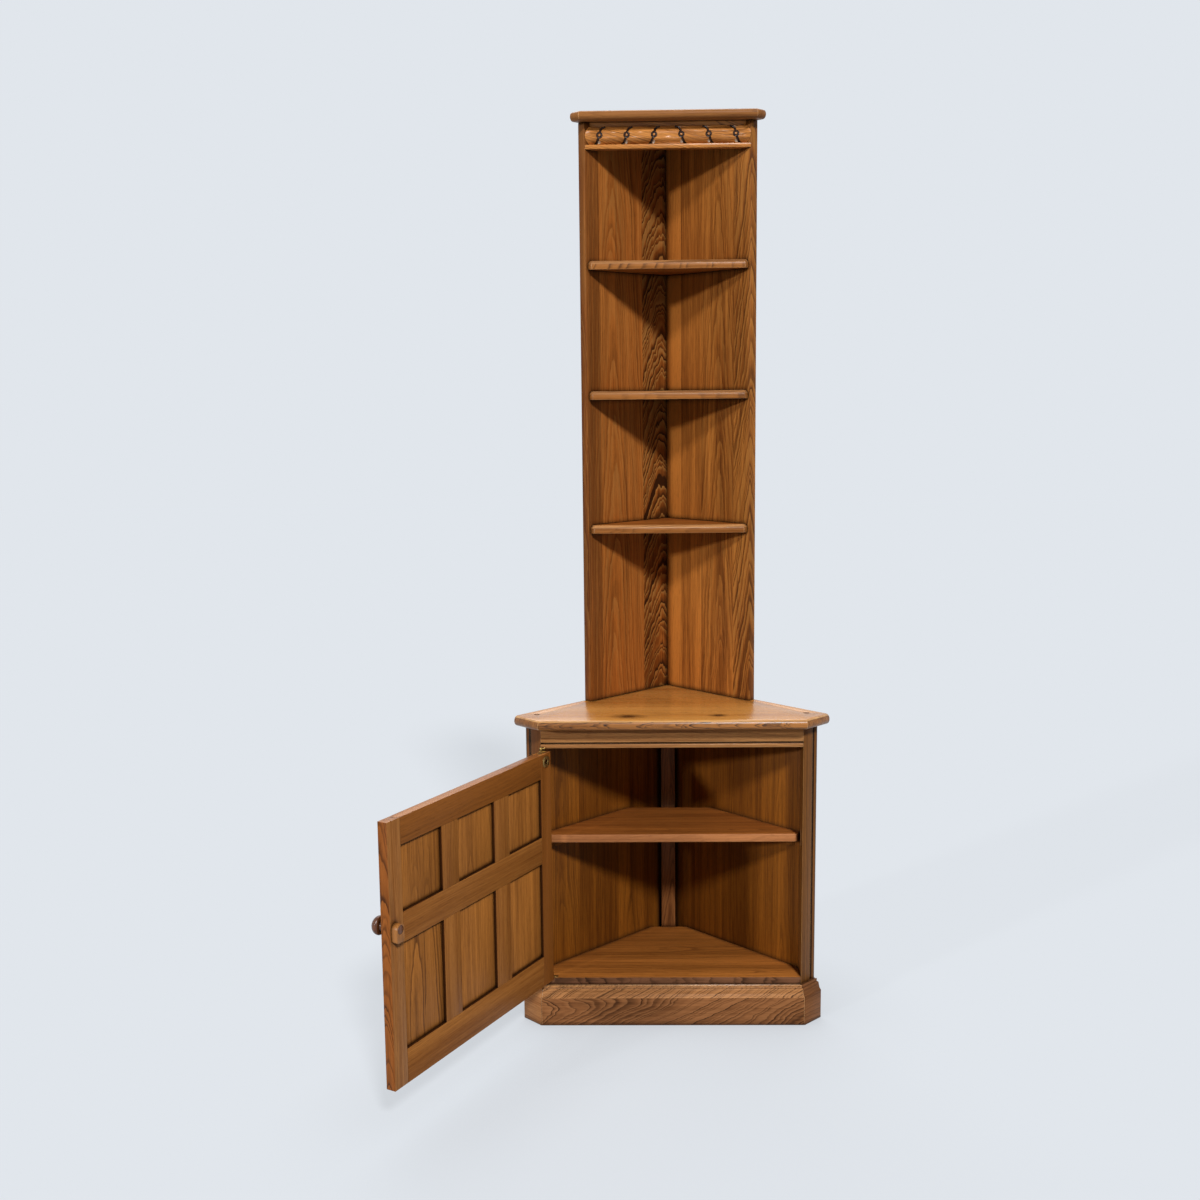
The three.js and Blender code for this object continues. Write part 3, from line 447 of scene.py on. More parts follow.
def eased(cad_node, material, body="cabinet", ease=1.0, segments=2, faces=(), worn_and_highlit=None):
    """A piece from its CAD solid, with its sharp edges rounded, ease mm wide, as sanding and use leave them.
    Each entry of faces is a second material and a test of a face's middle, in mm, and its direction.
    worn_and_highlit is the material of the rounded edges: paler, partly from the wear of hands and cloths
    and partly a painted highlight."""
    mesh = bpy.data.meshes.new(cad_node + "_finished")
    work = bmesh.new()
    work.from_mesh(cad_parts[cad_node].data)
    bmesh.ops.remove_doubles(work, verts=work.verts, dist=WELD)
    bmesh.ops.dissolve_limit(work, angle_limit=FLAT_ANGLE, verts=work.verts, edges=work.edges)
    work.to_mesh(mesh)
    work.free()
    for look in [material] + [face_look for face_look, _ in faces] + ([worn_and_highlit] if worn_and_highlit else []):
        mesh.materials.append(look)
    piece = bpy.data.objects.new(cad_node + "_finished", mesh)
    bpy.context.scene.collection.objects.link(piece)
    bevel = piece.modifiers.new("eased edges", "BEVEL")
    if worn_and_highlit:
        bevel.material = len(faces) + 1
    bevel.width = ease * MM
    bevel.segments = segments
    bevel.limit_method = "ANGLE"
    bevel.angle_limit = SHARP_ANGLE
    bevel.use_clamp_overlap = True
    result = baked(piece)
    result.name = cad_node + "_finished"
    for number, (_, belongs) in enumerate(faces, 1):
        for polygon in result.polygons:
            if polygon.material_index == 0 and belongs(polygon.center / MM, polygon.normal):
                polygon.material_index = number
    for polygon in result.polygons:
        polygon.use_smooth = True
    result.set_sharp_from_angle(angle=SMOOTH_ANGLE)
    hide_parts(cad_node)
    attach(piece, body)
    return piece


def plain(finish, cad_node, grain, across, seed, body="cabinet", ease=1.0, **look):
    """A wooden piece with one look on all its faces."""
    return eased(cad_node, elm(finish, cad_node, grain, across, seed, **look), body, ease)


HANDS = ((-1, "left"), (1, "right"))
PLINTH_HIGH = 62.0  # top of the plain part of the plinth, under the moulding, mm
plinth_colours = {"light": "#946039", "deep": "#633B1E", "lines": "#2C180B", "pale": "#A87348"}
# painted light: the left cant is coloured paler, standing in for light that the open door keeps off it
painted_light_cant = {"light": "#BC8452", "deep": "#8A5630"}
bare_look = {"light": "#9A6A3E", "deep": "#775030", "roughness": 0.62, "shine": 0.1}


def over_plinth(middle, direction):
    return middle.z > PLINTH_HIGH


plinth_face = elm(
    "satin lacquered elm", "plinth_front", ALONG, UP, seed=3.0,
    boards=(Board(86, pith=0.7, ring=8.0, slope=0.38, figure=1.0, ripple=1.8, depth=8),),
    sway=13.0, drift=0.1, **plinth_colours,
)
# painted light: the moulding is coloured paler than the face below it, as light from above falls on its top
plinth_moulding = elm(
    "satin lacquered elm", "plinth_front", ALONG, UP, part="moulding", seed=5.0,
    boards=(Board(86, pith=2.2, slope=0.6, figure=1.2, tone=0.3, ripple=1.6),),
    light="#B8804E", deep="#80502B", lines="#3A200F",
)
# paler arrises of the plinth: wear and a painted highlight
plinth_arris = elm(
    "highlit elm", "plinth_front", ALONG, UP, part="arrises", seed=6.0,
    boards=(Board(86, pith=2.2, slope=0.6, figure=0.8),),
    light="#D8A268", deep="#A87142", roughness=0.3, shine=0.5,
)
eased("plinth_front", plinth_face, ease=1.5, faces=((plinth_moulding, over_plinth),), worn_and_highlit=plinth_arris)
for side, hand in HANDS:
    plain(
        "satin lacquered elm", f"plinth_cant_{hand}", (side, 1, 0), UP, seed=8.0 + side, ease=0.6,
        boards=(Board(86, pith=1.3, slope=0.06, figure=0.35),),
        **(plinth_colours | (painted_light_cant if hand == "left" else {})),
    )
    plain("bare elm", f"plinth_wall_rail_{hand}", (side, -1, 0), UP, seed=11.0 + side, **bare_look)
    plain("bare elm", f"plinth_block_{hand}", UP, ALONG, seed=14.0 + side, **bare_look)
plain("bare elm", "plinth_block_back", UP, ALONG, seed=17.0, **bare_look)

# Cupboard floor: jointed elm boards between the posts, the front edge flush with their faces.
# The top is a warm red brown, and the front edge a duller brown with the ends of dark arches.
FACING = 0.8  # a face with this much of its direction one way faces that way


def front_edge(middle, direction):
    return direction.y < -FACING


# painted light: the top is coloured lighter than the side panels, standing in for light from above
floor_board = elm(
    "satin lacquered elm", "cupboard_floor", ALONG, INWARD, seed=21.0,
    boards=(
        Board(98, pith=0.3, ring=5.0, slope=0.02, figure=0.4, tone=0.4),
        Board(92, pith=0.6, ring=7.0, tone=0.6),
        Board(98, pith=1.4, ring=5.0, slope=0.02, figure=0.4),
    ),
    light="#C47A36", deep="#86501F", lines="#4A270F", corners="#553016",
)
floor_edge = elm(
    "satin lacquered elm", "cupboard_floor", ALONG, UP, part="front edge", seed=23.0,
    boards=(Board(16, pith=0.4, ring=3.4, slope=0.1, figure=0.9, ripple=1.0, depth=4),), sway=5.0,
    light="#80553A", deep="#553722", lines="#2A180C",
)
eased("cupboard_floor", floor_board, ease=0.6, faces=((floor_edge, front_edge),))

# Corner posts: canted elm posts with a groove and bead worked down the cant, carrying the rail and the
# worktop. The back post in the corner behind them is a darker, redder piece.
GROOVE_SHALLOW, GROOVE_DEEP = 0.9, 5.0  # between these depths under the cant lie the groove's faces, mm
UPRIGHT = 0.5  # a face whose direction rises or falls less than this stands upright
post_light = {"left": "#80502A", "right": "#8C5A28"}


def in_groove(post_node, side):
    """A test for the faces of the groove in a post's cant, which faces forward and to the given side."""
    facing = Vector((side, -1, 0)).normalized()
    cant_at = max(facing.dot(corner.co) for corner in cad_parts[post_node].data.vertices) / MM

    def belongs(middle, direction):
        under_cant = cant_at - facing.dot(middle)
        return GROOVE_SHALLOW < under_cant < GROOVE_DEEP and abs(direction.z) < UPRIGHT

    return belongs


for side, hand in HANDS:
    post_node = f"corner_post_{hand}"
    post = elm(
        "satin lacquered elm", post_node, UP, (side, 1, 0), seed=25.0 + side,
        boards=(Board(50, pith=-0.8, ring=4.0, slope=0.02),),
        light=post_light[hand], deep="#633C1C", lines="#3A200F",
    )
    # painted shade: the groove's faces are coloured near black, darker than the shallow groove's own shade
    groove = elm(
        "dark stained elm", post_node, UP, (side, 1, 0), part="groove", seed=27.0 + side,
        light="#2A170C", deep="#1A0D06",
    )
    # paler arrises of the post: wear and a painted highlight
    arris = elm(
        "highlit elm", post_node, UP, (side, 1, 0), part="arrises", seed=29.0 + side,
        light="#C8924E", deep="#84562C", roughness=0.3, shine=0.5,
    )
    eased(post_node, post, ease=0.8, faces=((groove, in_groove(post_node, side)),), worn_and_highlit=arris)
plain(
    "satin lacquered dark elm", "back_post", UP, ALONG, seed=31.0,
    boards=(Board(32, pith=0.7, slope=0.1, figure=0.6),),
    light="#8A5830", deep="#5A3319", lines="#2E180C", corners="#2C170A",
)

# Side panels: edge-jointed elm boards that stand along the walls behind the posts.
# They are coloured darker than the front and show as the dim sides of the cupboard.
inside_colours = {"light": "#8E5419", "deep": "#5A300C", "lines": "#321A08", "corners": "#38200E"}
for side, hand in HANDS:
    plain(
        "satin lacquered elm", f"side_panel_{hand}", UP, (side, -1, 0), seed=41.0 + 3 * side,
        boards=(
            Board(92, pith=1.4, ring=5.0, slope=0.02, figure=0.35, tone=0.6),
            Board(84, ring=7.0, figure=0.45, tone=0.35),
            Board(120, pith=-0.5, ring=5.0, slope=0.02, figure=0.35, tone=0.7),
            Board(134, pith=0.4, ring=7.0, figure=0.4, tone=0.45),
        ),
        **inside_colours,
    )

# Base shelf: a fixed elm shelf with a straight rear edge, held by two bearers screwed to the side panels.
# Its rounded front edge is paler, partly from the wear of hands and partly a painted highlight where it
# catches the light.
# painted light: the top is coloured lighter than the side panels, standing in for light from above
shelf_wood = elm(
    "satin lacquered elm", "base_shelf", ALONG, INWARD, seed=52.0,
    boards=(
        Board(64, slope=0.04, tone=0.35),
        Board(70, pith=1.3, figure=0.4, tone=0.6),
        Board(65, pith=0.4, figure=0.4),
    ),
    light="#A8642B", deep="#743F17", lines="#3E200C", corners="#40220E",
)
# the paler front edge: wear and a painted highlight
shelf_edge = elm(
    "worn lacquered elm", "base_shelf", ALONG, UP, part="front edge", seed=53.0,
    boards=(Board(18, pith=2.0, ring=4.0, figure=0.25),),
    light="#BC7C4C", deep="#965E37", lines="#5A341A",
)
eased("base_shelf", shelf_wood, ease=2.5, segments=3, faces=((shelf_edge, front_edge),), worn_and_highlit=shelf_edge)
for side, hand in HANDS:
    plain(
        "satin lacquered elm", f"shelf_bearer_{hand}", (side, -1, 0), UP, seed=55.0 + side,
        boards=(Board(16, ring=4.0),), **inside_colours,
    )

# Front rail: elm, with a quirk and a bead along its lower edge, tenoned into the posts; a plain block
# behind it stops the door.
# painted light: the rail is coloured lighter than its wood, to make up for the shade under the worktop's
# overhang
rail_wood_painted_lighter = elm(
    "satin lacquered elm", "front_rail", ALONG, UP, seed=61.0,
    boards=(Board(46, pith=-0.9, ring=4.5, slope=0.02, figure=0.4),),
    light="#BE8852", deep="#8A5A32", lines="#3E2412",
)
# paler arrises of the rail: wear and a painted highlight
rail_arris = elm(
    "highlit elm", "front_rail", ALONG, UP, part="arrises", seed=62.0,
    light="#D09A62", deep="#A06C3E", roughness=0.3, shine=0.4,
)
eased("front_rail", rail_wood_painted_lighter, ease=0.8, worn_and_highlit=rail_arris)
plain("bare elm", "door_stop", ALONG, UP, seed=63.0, **bare_look)

# Worktop: pale, even-grained elm boards with a darker grained nosing, polished glossier than the rest.
# Two soft dark knots lie near its front edge, and two plugs cover the screws into the posts.
KNOT_BROWN = "#2A170B"
KNOT_FADE = ((0.36, 0.93), (0.58, 0.48), (1.0, 0.0))  # share of a knot's size, and darkness there
KNOT_WAVES = 60.0  # waves in a knot's outline, to the metre
KNOT_RAGGED = 0.3  # how far they push the outline, as a share of its size
NOSING_FORWARD = -0.25  # the nosing's faces point further forward than this
NOSING_UNDER, NOSING_OVER = -0.85, 0.5  # and lie between these rises
LEVEL = 0.9  # a face with this much of its direction upwards is level


class Knot(NamedTuple):
    """A knot in the worktop, in plan, in mm."""

    x: float
    y: float
    half_length: float
    half_width: float


def add_knots(material, knots):
    """Lets soft dark knots into a material's colour."""
    tree = material.node_tree
    add = partial(node, tree)
    shader = tree.nodes["Principled BSDF"]
    place = add("ShaderNodeTexCoord").outputs["Object"]
    rough = add("ShaderNodeTexNoise", {"Vector": place, "Scale": KNOT_WAVES, "Detail": 2.0})
    for knot in knots:
        move = {
            "Location": (-knot.x / knot.half_length, -knot.y / knot.half_width, 0),
            "Scale": (1 / (knot.half_length * MM), 1 / (knot.half_width * MM), 0),
        }
        near = add("ShaderNodeMapping", {"Vector": place} | move)
        distance = add("ShaderNodeVectorMath", (near,), operation="LENGTH").outputs["Value"]
        ragged = add("ShaderNodeMath", (rough, KNOT_RAGGED, distance), operation="MULTIPLY_ADD")
        share = add("ShaderNodeValToRGB", (ragged,))
        set_stops(share.color_ramp, KNOT_FADE)
        before = shader.inputs["Base Color"].links[0].from_socket
        knotted = {"Factor": share, "A": before, "B": linear(KNOT_BROWN)}
        dark = add("ShaderNodeMix", knotted, data_type="RGBA")
        tree.links.new(dark.outputs["Result"], shader.inputs["Base Color"])


def on_nosing(middle, direction):
    return direction.y < NOSING_FORWARD and NOSING_UNDER < direction.z < NOSING_OVER


# the upper faces of a nosing, which get a paler material as a painted highlight
def on_upper_nosing(middle, direction):
    return direction.y < NOSING_FORWARD and NOSING_OVER < direction.z < LEVEL


worktop_wood = elm(
    "glossy lacquered pale elm", "worktop", ALONG, INWARD, seed=71.0,
    boards=(
        Board(130, ring=8.0, figure=0.2, tone=0.3),
        Board(120, pith=1.6, slope=0.02, figure=0.16, tone=0.45),
        Board(136, pith=0.4, ring=8.0, figure=0.2, tone=0.35),
    ),
    light="#E29E50", deep="#B8702A", lines="#7C4A1C", roughness=0.24, shine=0.8,
)
left_knot = Knot(x=-91.5, y=10.0, half_length=54.0, half_width=30.0)
right_knot = Knot(x=98.0, y=15.0, half_length=32.0, half_width=19.0)
add_knots(worktop_wood, (left_knot, right_knot))
worktop_edge = elm(
    "glossy lacquered elm", "worktop", ALONG, UP, part="nosing", seed=73.0,
    boards=(Board(22, pith=0.6, ring=1.8, slope=0.06, figure=1.2, ripple=1.1, depth=6),), sway=5.0,
    light="#BA7A3C", deep="#6C3F17", lines="#2C1508", roughness=0.3, shine=0.35,
)
# paler arrises and upper nosing of the worktop: wear and a painted highlight
worktop_arris = elm(
    "rubbed glossy elm", "worktop", ALONG, UP, part="arrises", seed=74.0,
    light="#E8B470", deep="#B47A40", roughness=0.25, shine=0.6,
)
eased(
    "worktop", worktop_wood, ease=1.0, faces=((worktop_edge, on_nosing), (worktop_arris, on_upper_nosing)),
    worn_and_highlit=worktop_arris,
)
for side, hand in HANDS:
    plain(
        "lacquered elm end grain", f"worktop_plug_{hand}", INWARD, ALONG,
        seed=75.0 + side, ease=0.4, boards=(Board(12, ring=2.5),), light="#A26C3C", deep="#7A4C28",
    )
    plain(
        "bare beech", f"back_board_dowel_{hand}", UP, ALONG, seed=78.0 + side,
        boards=(Board(8, ring=2.0, figure=0.1),), light="#C79A6B", deep="#A87C50", roughness=0.6,
    )

# Back boards: two tall boards, each glued up from narrower ones and butted in the corner of the room.
# The left board next to the corner is strongly figured with dark zigzag arches; the others are quieter,
# but for the outermost board on the right.
board_colours = {"light": "#B0682B", "deep": "#713D16", "lines": "#321909"}
plain(
    "satin lacquered elm", "back_board_left", UP, (-1, -1, 0), seed=83.0,
    boards=(
        Board(94, pith=0.35, ring=10.5, slope=0.46, figure=1.35, tone=0.8, ripple=3.2, depth=6),
        Board(130, pith=0.7, ring=8.5, slope=0.06, tone=0.32, ripple=0.9),
        Board(40.5, pith=-0.8, ring=4.5, slope=0.02, figure=0.4, tone=0.95),
    ),
    sway=7.0, pale="#BA8C4C", **board_colours,
)
plain(
    "satin lacquered elm", "back_board_right", UP, (1, -1, 0), seed=87.0,
    boards=(
        Board(45, pith=2.5, ring=4.0, slope=0.02, figure=0.15, tone=0.0),
        Board(60, pith=-1.5, ring=4.5, slope=0.02, figure=0.15),
        Board(95, pith=0.55, ring=9.5, slope=0.08, figure=0.4, tone=0.55, ripple=1.4),
        Board(46.2, pith=1.5, ring=9.0, slope=0.2, figure=0.75, tone=0.6, ripple=1.4),
    ),
    sway=8.0, pale="#CC9248", **(board_colours | {"light": "#C47A34"}),
)

# Upper shelves: three small elm shelves housed in the back boards, bevelled along the top of the front
# edge, where the cut crosses the rings and shows a row of pale chevrons.
shelf_cuts = {
    "bottom": Board(18, pith=0.7, ring=3.0, figure=0.4, tone=0.7),
    "middle": Board(18, ring=3.0, tone=0.6),
    "top": Board(18, pith=0.6, ring=8.0, slope=0.33, figure=0.8, tone=0.4, depth=3),
}
shelf_boards = (
    Board(95, ring=7.0, slope=0.05, figure=0.45, tone=0.4),
    Board(95, pith=1.2, slope=0.04, figure=0.4),
)
for number, (level, cut) in enumerate(shelf_cuts.items()):
    shelf_node = f"upper_shelf_{level}"
    shelf = elm(
        "satin lacquered elm", shelf_node, ALONG, INWARD, seed=91.0 + number,
        boards=shelf_boards, **board_colours,
    )
    edge = elm(
        "satin lacquered elm", shelf_node, ALONG, UP, part="edge", seed=94.0 + number,
        boards=(cut,), light="#B27238", deep="#744319", lines="#33190A", roughness=0.36, shine=0.15,
    )
    # paler arrises and upper nosing of a shelf: wear and a painted highlight
    arris = elm(
        "highlit elm", shelf_node, ALONG, UP, part="arrises", seed=107.0 + number,
        light="#BE8650", deep="#84532C", roughness=0.3, shine=0.3,
    )
    eased(shelf_node, shelf, ease=0.9, faces=((edge, on_nosing), (arris, on_upper_nosing)), worn_and_highlit=arris)

# Frieze: a moulded elm board between the back boards, its round member carved with six small motifs,
# each a ring with a curling gouge cut above and below; the three on the right mirror the three on the left.
MOTIFS = 6
CARVING_SIZES = {
    "First ring x": -142.4 * MM,
    "Spacing": 56.8 * MM,
    "Ring height": 1884.0 * MM,
    "Ring radius": 4.6 * MM,
    "Groove half width": 2.3 * MM,
    "Stroke half width": 2.6 * MM,
    "Crest y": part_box("frieze")[0].y,
    "Round half height": 17.5 * MM,
    "Round fall": 8.0 * MM,  # how far the round member falls back at its edges
}
UPPER_GOUGE = ((1.5, 6.4), (2.0, 11.5), (5.0, 14.5), (12.5, 17.6))  # across and up from the ring, mm
LOWER_GOUGE = ((-2.0, -6.0), (-3.6, -10.0), (-5.0, -15.5), (-10.6, -19.4))
GOUGE_ENDS = {"To Min": 1.05, "To Max": 0.25}  # share of its width at the ring and at its tip
CHIP_RADIUS = 3.0  # mm
CHIP_PLACE = (-0.6, 0, -13.6)  # from the ring's middle, mm
CHIP_LEAN = 0.5  # radians
CHIP_SHAPE = (0.9, 0.45, 1.1)
CUT_WELD = 0.001 * MM  # corners of the cuts closer than this are one
frieze_wood = elm(
    "satin lacquered elm", "frieze", (1, 0, -0.3), (0.3, 0, 1), seed=96.0,
    boards=(Board(60, pith=1.4, ring=3.4, slope=0.06, figure=0.8),), sway=10.0,
    light="#E2964A", deep="#A2632A", lines="#4A2812", roughness=0.3, shine=0.25, corners=None,
)
carved_cut = elm(
    "dark stained elm", "frieze", ALONG, UP, part="cut", seed=97.0, boards=(Board(60, figure=0.2),),
    light="#4A2A14", deep="#2A150A", lines="#1A0C05", roughness=0.4, shine=0.4,
)
# painted glint: the small chips are coloured near white to stand in for the shine on the cut
painted_glint_chip = elm(
    "bare elm", "frieze", ALONG, UP, part="chip", seed=98.0, boards=(Board(60, figure=0.1),),
    light="#FFF0DC", deep="#FFE0BC", lines="#E8C090", roughness=0.3, shine=0.8,
)


def carving_tree():
    """The gouge cuts of the motifs, as closed forms to be cut out of the frieze, in metres."""
    tree = bpy.data.node_groups.new("carved motifs", "GeometryNodeTree")
    add = partial(node, tree)
    tree.interface.new_socket("Geometry", in_out="OUTPUT", socket_type="NodeSocketGeometry")
    for label in CARVING_SIZES:
        tree.interface.new_socket(label, in_out="INPUT", socket_type="NodeSocketFloat")
    given = add("NodeGroupInput").outputs

    # one motif, drawn flat about its ring's middle
    round_cut = {"Radius": given["Groove half width"], "Resolution": 8}
    groove_profile = add("GeometryNodeCurvePrimitiveCircle", round_cut)
    ring_line = {"Radius": given["Ring radius"], "Resolution": 24}
    ring = add("GeometryNodeCurvePrimitiveCircle", ring_line)
    upright = add("GeometryNodeTransform", {"Geometry": ring, "Rotation": (math.pi / 2, 0, 0)})
    ring_cut = add("GeometryNodeCurveToMesh", {"Curve": upright, "Profile Curve": groove_profile})
    cuts = [ring_cut]
    stroke_cut = {"Radius": given["Stroke half width"], "Resolution": 8}
    stroke_profile = add("GeometryNodeCurvePrimitiveCircle", stroke_cut)
    for gouge in (UPPER_GOUGE, LOWER_GOUGE):
        points = [(x * MM, 0, z * MM) for x, z in gouge]
        line = dict(zip(("Start", "Start Handle", "End Handle", "End"), points))
        stroke = add("GeometryNodeCurvePrimitiveBezierSegment", {"Resolution": 12} | line)
        run = add("GeometryNodeSplineParameter").outputs["Factor"]
        taper = add("ShaderNodeMapRange", {"Value": run} | GOUGE_ENDS)
        tapered = add("GeometryNodeSetCurveRadius", {"Curve": stroke, "Radius": taper})
        swept = {"Curve": tapered, "Profile Curve": stroke_profile, "Fill Caps": True}
        cuts.append(add("GeometryNodeCurveToMesh", swept))
    # a shallow chip beside the lower gouge, coloured near white as a painted glint
    chip = add("GeometryNodeMeshIcoSphere", {"Radius": CHIP_RADIUS * MM, "Subdivisions": 2})
    chip_place = tuple(way * MM for way in CHIP_PLACE)
    laid = {"Geometry": chip, "Translation": chip_place, "Rotation": (0, CHIP_LEAN, 0), "Scale": CHIP_SHAPE}
    chip = add("GeometryNodeTransform", laid)
    marked = {"Geometry": chip, "Name": "bare", "Value": True}
    chip = add("GeometryNodeStoreNamedAttribute", marked, data_type="BOOLEAN", domain="FACE")
    motif = add("GeometryNodeJoinGeometry")
    for cut in cuts + [chip]:
        tree.links.new(cut.outputs[0], motif.inputs[0])

    # the row of motifs, with those on the right mirrored
    row_start = add("ShaderNodeCombineXYZ", (given["First ring x"],))
    row_step = add("ShaderNodeCombineXYZ", (given["Spacing"],))
    row_line = {"Start Location": row_start, "Offset": row_step, "Count": MOTIFS}
    row = add("GeometryNodeMeshLine", row_line)
    last_on_left = {"A": add("GeometryNodeInputIndex"), "B": MOTIFS // 2 - 1}
    on_right = add("FunctionNodeCompare", last_on_left, data_type="INT", operation="GREATER_THAN")
    turned = add("ShaderNodeMapRange", {"Value": on_right, "To Min": 1.0, "To Max": -1.0})
    mirror = add("ShaderNodeCombineXYZ", (turned, 1.0, 1.0))
    spread = add("GeometryNodeInstanceOnPoints", {"Points": row, "Instance": motif, "Scale": mirror})
    real = add("GeometryNodeRealizeInstances", {"Geometry": spread})

    # bend the flat row on to the round member, and lift it to its height
    point = add("ShaderNodeSeparateXYZ", (add("GeometryNodeInputPosition"),)).outputs
    off_middle = add("ShaderNodeMath", (point[2], given["Round half height"]), operation="DIVIDE")
    within = add("ShaderNodeClamp", {"Value": off_middle, "Min": -1.0, "Max": 1.0})
    squared = add("ShaderNodeMath", (within, within), operation="MULTIPLY")
    falling = (squared, given["Round fall"], given["Crest y"])
    fallen = add("ShaderNodeMath", falling, operation="MULTIPLY_ADD")
    shift = add("ShaderNodeCombineXYZ", {"Y": fallen, "Z": given["Ring height"]})
    wrapped = add("GeometryNodeSetPosition", {"Geometry": real, "Offset": shift})
    stained = add("GeometryNodeSetMaterial", {"Geometry": wrapped, "Material": carved_cut})
    bare = add("GeometryNodeInputNamedAttribute", {"Name": "bare"}, data_type="BOOLEAN")
    chipped = {"Geometry": stained, "Selection": bare, "Material": painted_glint_chip}
    add("NodeGroupOutput", {"Geometry": add("GeometryNodeSetMaterial", chipped)})
    return tree


cutter = bpy.data.objects.new("carving_cutter", bpy.data.meshes.new("carving_cutter"))
bpy.context.scene.collection.objects.link(cutter)
gouges = cutter.modifiers.new("carved motifs", "NODES")
gouges.node_group = carving_tree()
for socket in gouges.node_group.interface.items_tree:
    if socket.in_out == "INPUT":
        gouges[socket.identifier] = CARVING_SIZES[socket.name]
gouged = baked(cutter)
work = bmesh.new()
work.from_mesh(gouged)
bmesh.ops.remove_doubles(work, verts=work.verts, dist=CUT_WELD)
bmesh.ops.recalc_face_normals(work, faces=work.faces)
work.to_mesh(gouged)
work.free()
frieze = eased("frieze", frieze_wood, ease=0.6)
carve = frieze.modifiers.new("carved motifs", "BOOLEAN")
carve.operation = "DIFFERENCE"
carve.solver = "EXACT"
carve.material_mode = "TRANSFER"
carve.use_self = True
carve.object = cutter
carved = baked(frieze)
carved.name = "frieze_finished"
carved.set_sharp_from_angle(angle=SMOOTH_ANGLE)
bpy.data.objects.remove(cutter)
for side, hand in HANDS:
    plain("bare elm", f"frieze_block_{hand}", UP, ALONG, seed=98.0 + side, **bare_look)

# Cornice: one elm board with a rounded nosing and cut corners, over the frieze and the back boards.
# Its eased arrises are paler from wear and a painted highlight, the upper faces of its nosing carry a
# painted highlight, and its top, which nobody polishes, is dull and dusty.
cornice_boards = (Board(110, ring=7.0, figure=0.35), Board(112, pith=1.3, figure=0.3))
cornice_wood = elm(
    "satin lacquered elm", "cornice", ALONG, INWARD, seed=103.0, boards=cornice_boards,
    light="#A26A38", deep="#774824", lines="#3C2010",
)
# paler arrises and upper nosing of the cornice: wear and a painted highlight
cornice_arris = elm(
    "highlit elm", "cornice", ALONG, INWARD, part="arrises", seed=104.0,
    light="#CC9258", deep="#9A6234", roughness=0.3, shine=0.4,
)
cornice_top = elm(
    "dull dusty elm", "cornice", ALONG, INWARD, part="top", seed=105.0,
    boards=cornice_boards, light="#8E6844", deep="#6C4A2E", roughness=0.75, shine=0.05,
)


def facing_up(middle, direction):
    return direction.z > LEVEL


eased(
    "cornice", cornice_wood, ease=1.0, faces=((cornice_top, facing_up), (cornice_arris, on_upper_nosing)),
    worn_and_highlit=cornice_arris,
)

# Door: a flat elm frame, grooved round six flat panels. Stiles run through, and rails and muntins
# are stub-tenoned into the grooves. Every arris is sanded round, and old staining has stayed dark in the
# recess round each panel, with painted shade added along the panel edges.
DOOR_TURN = math.radians(-118.5)
DOOR_LOW, DOOR_HIGH = (corner.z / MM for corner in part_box("door_lock_stile"))
HINGE = Vector((-276.0, 3.5, 0))  # foot of the hinge axis in plan, mm
DOOR_WIDTH = 551.0  # from the hinge axis to the free edge, mm
EDGE_BAND = 6.0  # the door's own edges lie within this of its outline, mm
TOP_BAND = 3.0  # and its top edge within this of its top, mm
EDGE_ON = 0.3  # a face that turns less than this to the door's front is one of its narrow edges
PANEL_INSET = 6.0  # how far a panel enters its groove, mm
ALONG_DOOR = Vector((math.cos(DOOR_TURN), math.sin(DOOR_TURN), 0))
DOOR_FACING = Vector((-math.sin(DOOR_TURN), math.cos(DOOR_TURN), 0))


def from_hinge(middle):
    return (middle - HINGE).dot(ALONG_DOOR)


def in_recess(middle, direction):
    """The narrow edges of the frame that stand round a panel."""
    edge_on = abs(direction.dot(DOOR_FACING)) < EDGE_ON
    within_width = EDGE_BAND < from_hinge(middle) < DOOR_WIDTH - EDGE_BAND
    return edge_on and within_width and DOOR_LOW + EDGE_BAND < middle.z < DOOR_HIGH - EDGE_BAND


def on_door_top(middle, direction):
    return direction.z > FACING and middle.z > DOOR_HIGH - TOP_BAND


def at_free_edge(middle, direction):
    return direction.dot(ALONG_DOOR) > FACING and from_hinge(middle) > DOOR_WIDTH - EDGE_BAND


